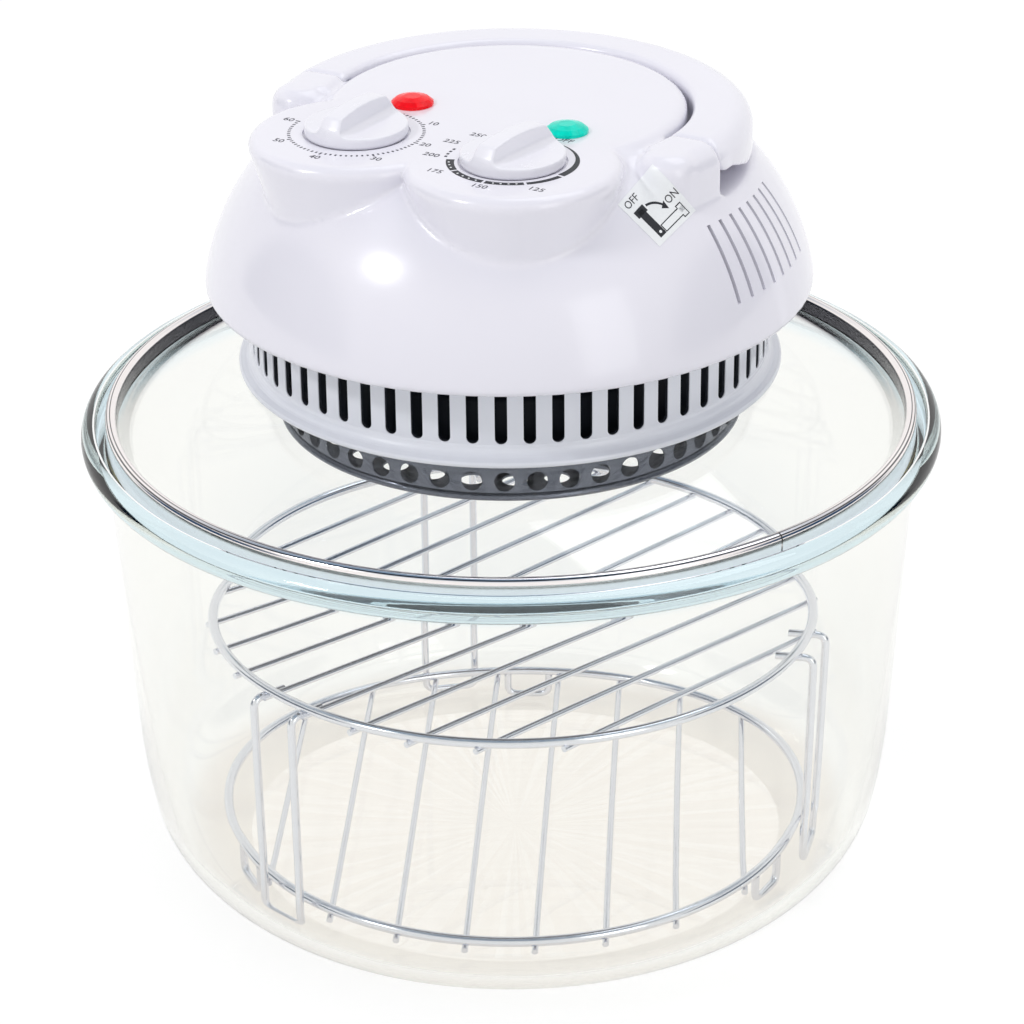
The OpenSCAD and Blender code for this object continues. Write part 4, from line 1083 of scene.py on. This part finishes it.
@dataclass
class HeadCover(Assembly):
    """The moulded head cover: a domed shell with a panel, dial bosses, ears, vents and a handle channel."""

    edge_r: float = 118.5
    side_r: float = 91.0
    lean: float = 8.0
    wall: float = 2.5
    panel_r: float = 68.5
    lobe_r: float = 40.5
    round_r: float = 4.0
    channel_depth: float = 21.0
    channel_front: float = -6.8
    handle_in: float = 70.5
    handle_out: float = 93.5
    ear_turn: float = 15.0
    draft: float = 16.0
    knob_r: float = 19.5
    knob_gap: float = 0.7
    recess: float = 0.8
    vents: int = 8
    vent_w: float = 1.8
    vent_l: float = 27.0
    vent_pitch: float = 4.1
    vent_start: float = -13.0
    voxel: float = 1.25
    lobe_foot: float = 20.0
    nose_drop: float = 12.0
    nose_round: float = 7.0
    arm_round: float = 9.0
    arm_inner_round: float = 3.0
    shaft_hole_r: float = 4.0
    lens_hole_r: float = 4.6
    drill: float = 4.0
    clear: float = 1.0

    def __post_init__(self) -> None:
        """Reads the cover's heights from the frame."""
        low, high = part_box("head_cover")
        self.low, self.panel = low.z / MM, high.z / MM
        lean = math.radians(self.lean)
        self.centre = (self.edge_r - self.side_r * math.cos(lean), self.low - self.side_r * math.sin(lean))
        self.channel = self.panel - self.channel_depth
        self.dials = [middle(node) for node in ("timer_knob", "thermostat_knob")]
        self.lenses = [middle(node) for node in ("power_lens", "heat_lens")]

    def side(self, start: float, end: float, inset: float, steps: int = 40) -> Outline:
        """The domed side between two heights, moved inwards."""
        first, last = (math.degrees(math.asin((z - self.centre[1]) / self.side_r)) for z in (start, end))
        return arc(self.centre, self.side_r - inset, first, last, steps)

    def puck(self, radius: float, low: float, high: float, edge: float, draft: float = 0.0) -> BMesh:
        """A round boss with a rounded upper edge, whose side tapers downwards by an angle."""
        foot = radius - (high - edge - low) * math.tan(math.radians(draft))
        shoulder = arc((radius - edge, high - edge), edge, 0, 90, 8)
        return revolve([(0.0, low), (foot, low), *shoulder, (0.0, high)], 96)

    def arm_section(self, low: float) -> Outline:
        """The handle's section, which the ears carry on."""
        points = [(self.handle_in, low), (self.handle_out - 1.0, low), (self.handle_out, low + 1.0)]
        outer, inner = self.arm_round, self.arm_inner_round
        points += arc((self.handle_out - outer, self.panel - outer), outer, 0, 90, 10)
        return points + arc((self.handle_in + inner, self.panel - inner), inner, 90, 180, 5)

    def ear(self) -> BMesh:
        """The right ear, from the channel's front to its round nose."""
        low = self.channel - self.wall
        centre, half = (self.handle_in + self.handle_out) / 2, (self.handle_out - self.handle_in) / 2
        front = math.degrees(math.asin(-self.channel_front / self.handle_out)) - 1.0
        arm = revolve(self.arm_section(low), 12, closed=True, gap_deg=360.0 - (self.ear_turn - front))
        nose = moved(self.puck(half, low - self.nose_drop, self.panel, self.nose_round), centre, 0.0, 0.0)
        return turned(gathered([arm, nose]), -self.ear_turn)

    def body(self) -> Object:
        """Melts the dome, panel, dial bosses and ears into one skin."""
        outline = [(0.0, self.low), (self.edge_r - 2.0, self.low), (self.edge_r - 0.5, self.low + 0.6)]
        outline += self.side(self.low + 2.0, self.panel, 0.0) + [(0.0, self.panel)]
        cover = as_object("head_shell", revolve(outline, 192))
        reach, height = 2 * self.edge_r, self.panel - self.channel
        ring = [(self.panel_r, self.channel), (self.edge_r, self.channel)]
        ring += [(self.edge_r, self.panel + self.clear), (self.panel_r, self.panel + self.clear)]
        channel = as_object("channel", revolve(ring, 128, closed=True))
        front = (0.0, self.channel_front - reach / 2, self.channel + height / 2)
        combined(channel, bar((reach, reach, 2 * height), front), "DIFFERENCE")
        cutter = copied(channel.data)
        bpy.data.objects.remove(channel)
        combined(cover, cutter, "DIFFERENCE")
        plate = self.puck(self.panel_r, self.channel - self.wall, self.panel, self.round_r)
        combined(cover, plate, "UNION")
        for dial in self.dials:
            lobe = self.puck(self.lobe_r, self.low + self.lobe_foot, self.panel, self.round_r, self.draft)
            combined(cover, moved(lobe, dial.x, dial.y, 0.0), "UNION")
        for s in (-1, 1):
            ear = self.ear()
            if s < 0:
                bmesh.ops.mirror(ear, geom=[*ear.verts, *ear.edges, *ear.faces], axis="X")
                half = [v for v in ear.verts if v.co.x > 0]
                bmesh.ops.delete(ear, geom=half, context="VERTS")
                bmesh.ops.recalc_face_normals(ear, faces=ear.faces)
            combined(cover, ear, "UNION")
        return softened(cover, self.voxel, 5)

    def hollow(self) -> list[BMesh]:
        """The solids that leave the shell's wall when they are cut away."""
        t = self.wall
        under = self.channel - t
        dome = [(0.0, self.low - 1.0), (self.edge_r - t, self.low - 1.0)]
        dome += self.side(self.low, under, t, 20) + [(0.0, under)]
        solids = [revolve(dome, 96)]
        solids.append(drum(self.panel_r - t, under - 2.0, self.panel - t, 96))
        for dial in self.dials:
            foot = self.low + self.lobe_foot + t
            lobe = self.puck(self.lobe_r - t, foot, self.panel - t, self.round_r, self.draft)
            solids.append(moved(lobe, dial.x, dial.y, 0.0))
        return solids

    def openings(self) -> list[BMesh]:
        """The vents, the dial recesses and the holes for the dial shafts and the lenses."""
        cuts = []
        above = self.panel + self.clear
        vent_z = self.channel - self.wall - 2.0 - self.vent_l / 2
        for side in (0.0, 180.0):
            for i in range(self.vents):
                turn = self.vent_start + self.vent_pitch * i
                slot = bar((30.0, self.vent_w, self.vent_l), (self.edge_r - 11.0, 0.0, vent_z))
                cuts.append(turned(slot, turn if side == 0.0 else side - turn))
        for dial in self.dials:
            well = drum(self.knob_r + self.knob_gap, self.panel - self.recess, above, 96)
            shaft = drum(self.shaft_hole_r, self.panel - self.drill, above)
            cuts += [moved(well, dial.x, dial.y, 0.0), moved(shaft, dial.x, dial.y, 0.0)]
        for lens in self.lenses:
            hole = drum(self.lens_hole_r, self.panel - self.drill, above)
            cuts.append(moved(hole, lens.x, lens.y, 0.0))
        return cuts

    def build(self) -> None:
        """Makes the cover."""
        cover = self.body()
        for solid in self.hollow() + self.openings():
            combined(cover, solid, "DIFFERENCE")
        smoothed(cover, 42.0)
        self.add(cover, Finish.SHELL, "lid", "white_plastic", ["head_cover"])
        self.shell = cover


@dataclass
class Knobs(Assembly):
    """The two knobs, each with a raised grip bar between two low floors."""

    knob_r: float = 19.5
    bar_w: float = 7.0
    flare: float = 0.9
    foot_r: float = 3.0
    floor: float = 4.5
    floor_fall: float = 0.4
    edge: float = 0.6
    shoulder: tuple[float, float, float] = (8.0, 3.0, 32.0)
    crown_r: float = 90.0
    clear: float = 1.0
    voxel: float = 0.45

    def side(self, top: float) -> BMesh:
        """What is cut away on the +Y side of the bar.

        Args:
            top: The height above the knob.

        Returns:
            The cutter, along the bar.
        """
        reach = self.knob_r + self.clear
        middle_y = self.bar_w / 2 + self.flare + self.foot_r
        foot = arc((middle_y, self.floor + self.foot_r), self.foot_r, 180, 270, 6)
        outline = [(self.bar_w / 2, top), *foot, (reach, self.floor - self.floor_fall), (reach, top)]
        cut = slab(outline, -reach, reach)
        upright = Matrix(((0, 0, 1), (1, 0, 0), (0, 1, 0)))
        bmesh.ops.rotate(cut, verts=cut.verts, cent=(0, 0, 0), matrix=upright)
        return cut

    def knob(self, name: str, bar_turn: float, body: str) -> None:
        """Makes a knob.

        Args:
            name: The frame's node that it stands for.
            bar_turn: The direction of its bar, in degrees from +X.
            body: The body that it rides on.
        """
        place = middle(name)
        low, high = (corner.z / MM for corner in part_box(name))
        h = high - low
        shoulder_r, shoulder_z, shoulder_turn = self.shoulder
        outline = [(0.0, 0.0), (self.knob_r - self.edge, 0.0), (self.knob_r, self.edge)]
        outline += arc((self.knob_r - shoulder_r, shoulder_z), shoulder_r, 0, shoulder_turn, 6)
        outline += arc((0.0, h - self.crown_r), self.crown_r, 80, 90, 6)
        cap = as_object(name + "_cap", revolve(outline, 96))
        for turn in (0.0, 180.0):
            combined(cap, turned(self.side(h + self.clear), turn), "DIFFERENCE")
        softened(cap, self.voxel, 4)
        bm = moved(turned(copied(cap.data), bar_turn), place.x, place.y, low)
        bm.to_mesh(cap.data)
        bm.free()
        smoothed(cap, 60.0)
        self.add(cap, Finish.KNOB, body, "white_plastic", [name])

    def build(self) -> None:
        """Makes both knobs."""
        self.knob("timer_knob", 88.0, "timer_dial")
        self.knob("thermostat_knob", 82.0, "heat_dial")


@dataclass
class DialPrint(Assembly):
    """The scales printed on the panel round the two knobs."""

    ink: float = 0.06
    type_size: float = 4.4
    tick_r: float = 24.6
    band_r: float = 24.4
    timer_marks: tuple[str, ...] = ("0", "10", "20", "30", "40", "50", "60")
    timer_step: float = 45.0
    timer_start: float = 90.0
    heat_marks: tuple[tuple[str, float], ...] = (
        ("OFF", 77.0),
        ("125", -45.0),
        ("150", -87.0),
        ("175", -133.0),
        ("200", -165.0),
        ("225", -194.0),
        ("250", -216.0),
    )
    segments: tuple[tuple[float, float, float, float], ...] = (
        (69.0, -12.0, 0.35, 3.0),
        (-15.0, -49.0, 2.1, 2.1),
        (-51.5, -87.0, 2.4, 2.4),
        (-89.5, -127.0, 2.4, 2.6),
        (-129.5, -157.0, 2.7, 3.1),
    )
    dots: tuple[float, ...] = (
        *(-58.0, -65.0, -72.0, -79.0),
        *(-96.0, -104.0, -112.0, -120.0),
        *(-136.0, -143.0, -150.0),
    )
    dashes: tuple[float, ...] = (-164.0, -170.0, -176.0, -182.0)
    dash: tuple[float, float] = (1.0, 1.3)
    long_tick: float = 1.9
    short_tick: float = 1.2
    tick_w: float = 0.7
    timer_number_r: float = 29.6
    heat_number_r: float = 27.6
    heat_number_widening: float = 3.2
    dot_r: float = 0.42
    dot_inset: float = 1.1

    def __post_init__(self) -> None:
        """Finds the panel and the dials."""
        self.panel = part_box("head_cover")[1].z / MM
        self.timer, self.heat = middle("timer_knob"), middle("thermostat_knob")

    def words(self, text: str, dial: Vector, radius: float, angle: float) -> BMesh:
        """A number beside its dial."""
        a = math.radians(angle)
        place = placed(dial.x + radius * math.cos(a), dial.y + radius * math.sin(a), self.panel)
        return lettering(text, self.type_size, place, 2 * self.ink)

    def tick(self, dial: Vector, angle: float, length: float, width: float) -> BMesh:
        """A radial tick beside its dial."""
        mark = bar((length, width, 2 * self.ink), (self.tick_r + length / 2, 0.0, self.panel))
        return moved(turned(mark, angle), dial.x, dial.y, 0.0)

    def timer_scale(self) -> list[BMesh]:
        """The timer's minutes."""
        parts = []
        minute = self.timer_step / 10.0
        for i in range(10 * (len(self.timer_marks) - 1) + 1):
            length = self.long_tick if i % 10 == 0 else self.short_tick
            parts.append(self.tick(self.timer, self.timer_start - minute * i, length, self.tick_w))
        for i, text in enumerate(self.timer_marks):
            angle = self.timer_start - self.timer_step * i
            parts.append(self.words(text, self.timer, self.timer_number_r, angle))
        return parts

    def heat_scale(self) -> list[BMesh]:
        """The thermostat's degrees."""
        parts = []
        for text, angle in self.heat_marks:
            sideways = abs(math.cos(math.radians(angle)))
            radius = self.heat_number_r + self.heat_number_widening * sideways
            parts.append(self.words(text, self.heat, radius, angle))
        for angle in self.dashes:
            parts.append(self.tick(self.heat, angle, *self.dash))
        return parts

    def build(self) -> None:
        """Prints both scales, and the broad band of the thermostat with its pale dots."""
        scales = as_object("dial_scales", gathered(self.timer_scale() + self.heat_scale()))
        self.add(scales, Finish.INK, "lid", "white_plastic")
        low, high = self.panel - self.ink, self.panel + self.ink
        band = []
        for start, end, first, last in self.segments:
            outline = printed_arc(self.band_r, (first, last), start, end)
            band.append(moved(slab(outline, low, high), self.heat.x, self.heat.y, 0.0))
        self.add(as_object("dial_band", gathered(band)), Finish.BAND_INK, "lid", "white_plastic")
        spots = []
        for angle in self.dots:
            spot = moved(drum(self.dot_r, low, high + self.ink, 12), self.band_r - self.dot_inset, 0.0, 0.0)
            spots.append(moved(turned(spot, angle), self.heat.x, self.heat.y, 0.0))
        self.add(as_object("dial_band_dots", gathered(spots)), Finish.STICKER, "lid", "white_plastic")


@dataclass
class HandleLabel(Assembly):
    """The small label on the cover's right front: a lever that stands for OFF and lies down for ON."""

    shell: Optional[Object] = None
    width: float = 23.0
    height: float = 22.0
    corners: tuple[tuple[float, float, float], ...] = (
        (88.1, -46.3, 294.9),
        (91.1, -23.0, 301.3),
        (73.0, -22.9, 315.4),
        (71.6, -47.7, 308.6),
    )
    pressed_from: tuple[float, float, float] = (0.4415, -0.7931, 0.4195)
    foil: float = 0.12
    ink: float = 0.05
    reach: float = 25.0
    net: float = 0.9
    foot: tuple[float, float] = (4.9, 3.6)
    lever_half: float = 1.7
    lever_top: float = 11.4
    grip_half: float = 2.7
    grip_low: float = 2.6
    grip_high: float = 0.4
    lying_gap: float = 3.6
    line_w: float = 0.4
    pivot_r: float = 0.6
    words: tuple[tuple[str, float, float], ...] = (("OFF", 5.2, 18.8), ("ON", 19.4, 9.6))
    type_size: float = 4.2
    arrow_centre: tuple[float, float] = (7.0, 6.2)
    arrow_r: float = 8.0
    arrow_half: float = 0.45
    arrow_head_half: float = 1.7
    gaps: tuple[float, float, float] = (0.05, 0.06, 0.08)

    def laid(self, name: str, flat: BMesh, lift: float, finish: Finish) -> None:
        """Lays a flat shape on the cover.

        Args:
            name: The piece's name.
            flat: The shape, in the label's own plane.
            lift: The height of its lower face over the cover.
            finish: Its finish.
        """
        near, right, far, left = (Vector(corner) for corner in self.corners)
        gaze = Vector(self.pressed_from).normalized()
        for vert in netted(flat, self.net).verts:
            x, y = vert.co.x / MM / self.width, vert.co.y / MM / self.height
            place = near.lerp(right, x).lerp(left.lerp(far, x), y)
            hit, normal, _, _ = self.tree.ray_cast((place + gaze * self.reach) * MM, -gaze)
            vert.co = hit + normal * (vert.co.z + lift * MM)
        self.add(as_object(name, flat), finish, "lid", "white_plastic")

    def lever(self, grow: float) -> list[Outline]:
        """The outlines of an upright lever with its foot at the origin: its bar and its grip."""
        w, g, top = self.lever_half + grow, self.grip_half + grow, self.lever_top
        low, high = top - self.grip_low - grow, top + self.grip_high + grow
        rod = [(-w, -w), (w, -w), (w, top), (-w, top)]
        return [rod, [(-g, low), (g, low), (g, high), (-g, high)]]

    def lying(self, grow: float) -> list[Outline]:
        """The lever's outlines, laid down to the right of its foot."""
        x0, y0 = self.foot
        return [[(y + x0 + self.lying_gap, y0 - x) for x, y in shape][::-1] for shape in self.lever(grow)]

    def inked(self, shapes: Sequence[Outline]) -> list[BMesh]:
        """Thin prints of some outlines."""
        return [slab(shape, 0.0, self.ink) for shape in shapes]

    def build(self) -> None:
        """Makes the foil and its pictogram."""
        graph = bpy.context.evaluated_depsgraph_get()
        self.tree = BVHTree.FromObject(self.shell, graph)
        foil = slab([(0, 0), (self.width, 0), (self.width, self.height), (0, self.height)], 0.0, self.foil)
        self.laid("handle_label", foil, self.gaps[0], Finish.STICKER)
        upright = [[(x + self.foot[0], y + self.foot[1]) for x, y in shape] for shape in self.lever(0.0)]
        dark = self.inked(upright + self.lying(0.0) + [self.arrow()])
        for text, x, y in self.words:
            dark.append(lettering(text, self.type_size, placed(x, y, self.ink / 2), self.ink))
        pivot = moved(drum(self.pivot_r, 0.0, self.ink, 16), *self.foot, 0.0)
        pale = self.inked(self.lying(-self.line_w)) + [pivot]
        self.laid("handle_label_print", gathered(dark), self.foil + self.gaps[1], Finish.BAND_INK)
        self.laid("handle_label_gaps", gathered(pale), self.foil + self.ink + self.gaps[2], Finish.STICKER)

    def arrow(self) -> Outline:
        """The outline of an arrow that swings down from the upright lever to the lying one."""
        centre, radius, half, wide = self.arrow_centre, self.arrow_r, self.arrow_half, self.arrow_head_half
        curve = arc(centre, radius + half, 80, 28, 8)
        tip = arc(centre, radius, 28, 8, 1)[1]
        head = [arc(centre, radius + wide, 28, 28, 1)[0], tip, arc(centre, radius - wide, 28, 28, 1)[0]]
        return curve + head + arc(centre, radius - half, 28, 80, 8)


@dataclass
class Lenses(Assembly):
    """The two facetted signal lenses."""

    radius: float = 8.1
    facets: int = 20
    turn: float = 7.0
    stem_r: float = 4.5
    crown_h: float = 3.2
    girdle_h: float = 1.1
    bevel: tuple[float, float] = (0.8, 2.4)
    table: float = 0.4

    def lens(self, node: str, finish: Finish, slot: str) -> None:
        """Makes a lens: a cut crown on a round girdle.

        Args:
            node: The frame's node that it stands for.
            finish: Its finish.
            slot: Its material slot.
        """
        low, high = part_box(node)
        centre = middle(node)
        foot, top, r = low.z / MM, high.z / MM, self.radius
        base = top - self.crown_h
        outline = [(0.0, foot), (self.stem_r, foot), (self.stem_r, base), (r, base)]
        outline += [(r, base + self.girdle_h)]
        outline += [(r * self.bevel[0], base + self.bevel[1]), (r * self.table, top), (0.0, top)]
        bm = moved(turned(revolve(outline, self.facets), self.turn), centre.x, centre.y, 0.0)
        self.add(as_object(node + "_jewel", bm, 4.0), finish, "lid", slot, [node])

    def build(self) -> None:
        """Makes both lenses."""
        self.lens("power_lens", Finish.RED_JEWEL, "red_lens")
        self.lens("heat_lens", Finish.GREEN_JEWEL, "green_lens")


@dataclass
class Handle(Assembly):
    """The folding carrying handle."""

    voxel: float = 0.9

    def build(self) -> None:
        """Softens the edges of the frame's own handle."""
        bm = copied(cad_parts["carry_handle"].data)
        bmesh.ops.remove_doubles(bm, verts=bm.verts, dist=MERGE_SOLID)
        grip = softened(as_object("handle_grip", bm), self.voxel, 4)
        smoothed(grip, 55.0)
        self.add(grip, Finish.SHELL, "handle", "white_plastic", ["carry_handle"])


@dataclass
class FrameNodes(Assembly):
    """The frame's own nodes that keep their shapes and get their finishes."""

    finishes: dict[Finish, tuple[str, ...]] = field(
        default_factory=lambda: {
            Finish.SKIRT: ("vent_skirt", "cord_gland"),
            Finish.SILICONE: ("glass_gasket",),
            Finish.GUARD_CHROME: ("heater_guard",),
            Finish.REFLECTOR: ("reflector_pan",),
            Finish.QUARTZ: ("halogen_lamp",),
            Finish.CERAMIC: ("lamp_holders",),
            Finish.SHIELD: ("heat_shield",),
            Finish.FIBRE: ("insulation_pad",),
            Finish.ZINC: ("motor_bridge", "bearing_brackets", "fan_nut", *SCREWS),
            Finish.LAMINATIONS: ("motor_core", "rotor_core"),
            Finish.COPPER: ("motor_coil",),
            Finish.CAPILLARY: ("capillary_sensor",),
            Finish.GROUND_STEEL: ("rotor_shaft", "timer_shaft", "thermostat_shaft", "handle_pins"),
            Finish.FAN_SHEET: ("convection_fan",),
            Finish.BLACK_MOULDING: ("cooling_fan", "lamp_sockets", "safety_switch"),
            Finish.UNIT: ("timer_unit", "thermostat_unit", "terminal_block"),
            Finish.BELL: ("timer_bell",),
            Finish.RED_MOULDING: ("switch_plunger",),
        }
    )

    def build(self) -> None:
        """Gives each node its finish."""
        for finish, names in self.finishes.items():
            for name in names:
                dress(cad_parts[name], finish)
                LOG.info("%s: %s in %s", type(self).__name__, name, finish.name.lower())


@dataclass
class Studio:
    """A pale floor, soft lamps and the camera of the photograph."""

    distance: float = 1.3656
    azimuth: float = 29.1
    elevation: float = 24.8
    roll: float = -0.63
    orbit_z: float = 0.192
    aim_z: float = 0.1466
    lens: float = 120.8
    sky: float = 0.66
    overhead: Colour = (0.20, 0.30, 0.42)
    screen: Colour = (0.008, 0.05, 0.12)
    floor_glow: float = 0.80
    floor_shade: float = 0.26
    floor_size: float = 6.0
    sensor: float = 36.0
    far: float = 50.0
    lamp_aim_z: float = 0.22
    lamps: tuple[tuple[str, tuple[float, float, float], float, float, float], ...] = (
        ("key", (-0.9, -1.5, 1.7), 0.34, 0.24, 12.0),
        ("fill", (1.9, -0.9, 0.9), 0.8, 1.4, 5.0),
        ("top", (0.2, 0.7, 2.0), 1.6, 1.0, 8.0),
    )

    def camera(self) -> None:
        """Places the camera where the photograph was taken from."""
        a, e = math.radians(self.azimuth), math.radians(self.elevation)
        back = Vector((math.sin(a) * math.cos(e), -math.cos(a) * math.cos(e), math.sin(e)))
        data = bpy.data.cameras.new("camera")
        data.lens = self.lens
        data.sensor_width = self.sensor
        data.clip_end = self.far
        made = linked("camera", data)
        made.location = Vector((0, 0, self.orbit_z)) + back * self.distance
        look = Vector((0, 0, self.aim_z)) - made.location
        turn = look.to_track_quat("-Z", "Y").to_matrix() @ Matrix.Rotation(math.radians(self.roll), 3, "Z")
        made.rotation_euler = turn.to_euler()
        bpy.context.scene.camera = made

    def world(self) -> None:
        """Surrounds the scene with a white room, darker overhead and with a blue screen at each side."""
        world = bpy.data.worlds.new("studio")
        bpy.context.scene.world = world
        s = Shader.of_world(world)
        seen, lit = s.ray("Camera"), s.ray("Diffuse")
        where = s.node("ShaderNodeTexCoord", output="Generated")
        height = s.node("ShaderNodeSeparateXYZ", {}, {0: where}, "Z")
        a = math.radians(self.azimuth)
        sideways = {0: where, 1: (math.cos(a), math.sin(a), 0)}
        beside = abs(s.node("ShaderNodeVectorMath", {"operation": "DOT_PRODUCT"}, sideways, 1))
        overhead = s.span(height, (0.55, 0.9))
        screen = s.span(beside, (0.84, 0.92)) * s.span(height, (0.6, 0.4))
        room = s.blend(screen, s.blend(overhead, WHITE, rgba(self.overhead)), rgba(self.screen))
        shown = s.blend(seen + lit, room, WHITE)
        strength = 1.0 + lit * (self.sky - 1.0)
        back = s.node("ShaderNodeBackground", {}, {"Color": shown, "Strength": strength})
        output = s.tree.nodes.new("ShaderNodeOutputWorld")
        s.tree.links.new(back.socket, output.inputs["Surface"])

    def floor(self) -> None:
        """Lays a pale floor that keeps the object's shadow."""
        bm = bmesh.new()
        bmesh.ops.create_grid(bm, x_segments=2, y_segments=2, size=self.floor_size)
        floor = as_object("floor", bm)
        s = Shader("pale_floor")
        speckle = s.noise(s.place(), 60.0, 2.0)
        base = s.blend(speckle, (0.80, 0.80, 0.805, 1.0), (0.82, 0.82, 0.825, 1.0))
        seen = 1.0 - s.ray("Diffuse")
        shown = s.blend(seen, base, rgba((1.0, 1.0, 1.0), self.floor_shade))
        matt = s.node("ShaderNodeBsdfDiffuse", {}, {"Color": shown})
        glow = {"Color": WHITE, "Strength": seen * self.floor_glow}
        lift = s.node("ShaderNodeEmission", {}, glow)
        floor.data.materials.append(s.finish(s.node("ShaderNodeAddShader", {}, {0: matt, 1: lift})))

    def lamp(self, name: str, place: Sequence[float], width: float, height: float, power: float) -> None:
        """Hangs one soft lamp that faces the oven.

        Args:
            name: The lamp's name.
            place: Where it hangs, in metres.
            width: Its width.
            height: Its height.
            power: Its power, in watts.
        """
        data = bpy.data.lights.new(name, "AREA")
        data.shape = "RECTANGLE"
        data.size, data.size_y = width, height
        data.energy = power
        made = linked(name, data)
        made.location = place
        look = Vector((0, 0, self.lamp_aim_z)) - made.location
        made.rotation_euler = look.to_track_quat("-Z", "Y").to_euler()

    def build(self) -> None:
        """Sets the scene up."""
        bpy.context.scene.view_settings.view_transform = "Standard"
        self.camera()
        self.world()
        self.floor()
        for lamp in self.lamps:
            self.lamp(*lamp)


def main() -> None:
    """Builds every sub-assembly in order."""
    logging.basicConfig(level=logging.INFO, format="%(name)s: %(message)s")
    Studio().build()
    cover = HeadCover()
    for assembly in (Bowl(), Racks(), Lid(), cover, Knobs(), DialPrint(), Lenses(), Handle(), FrameNodes()):
        assembly.build()
    HandleLabel(shell=cover.shell).build()


if __name__ == "__main__":
    main()
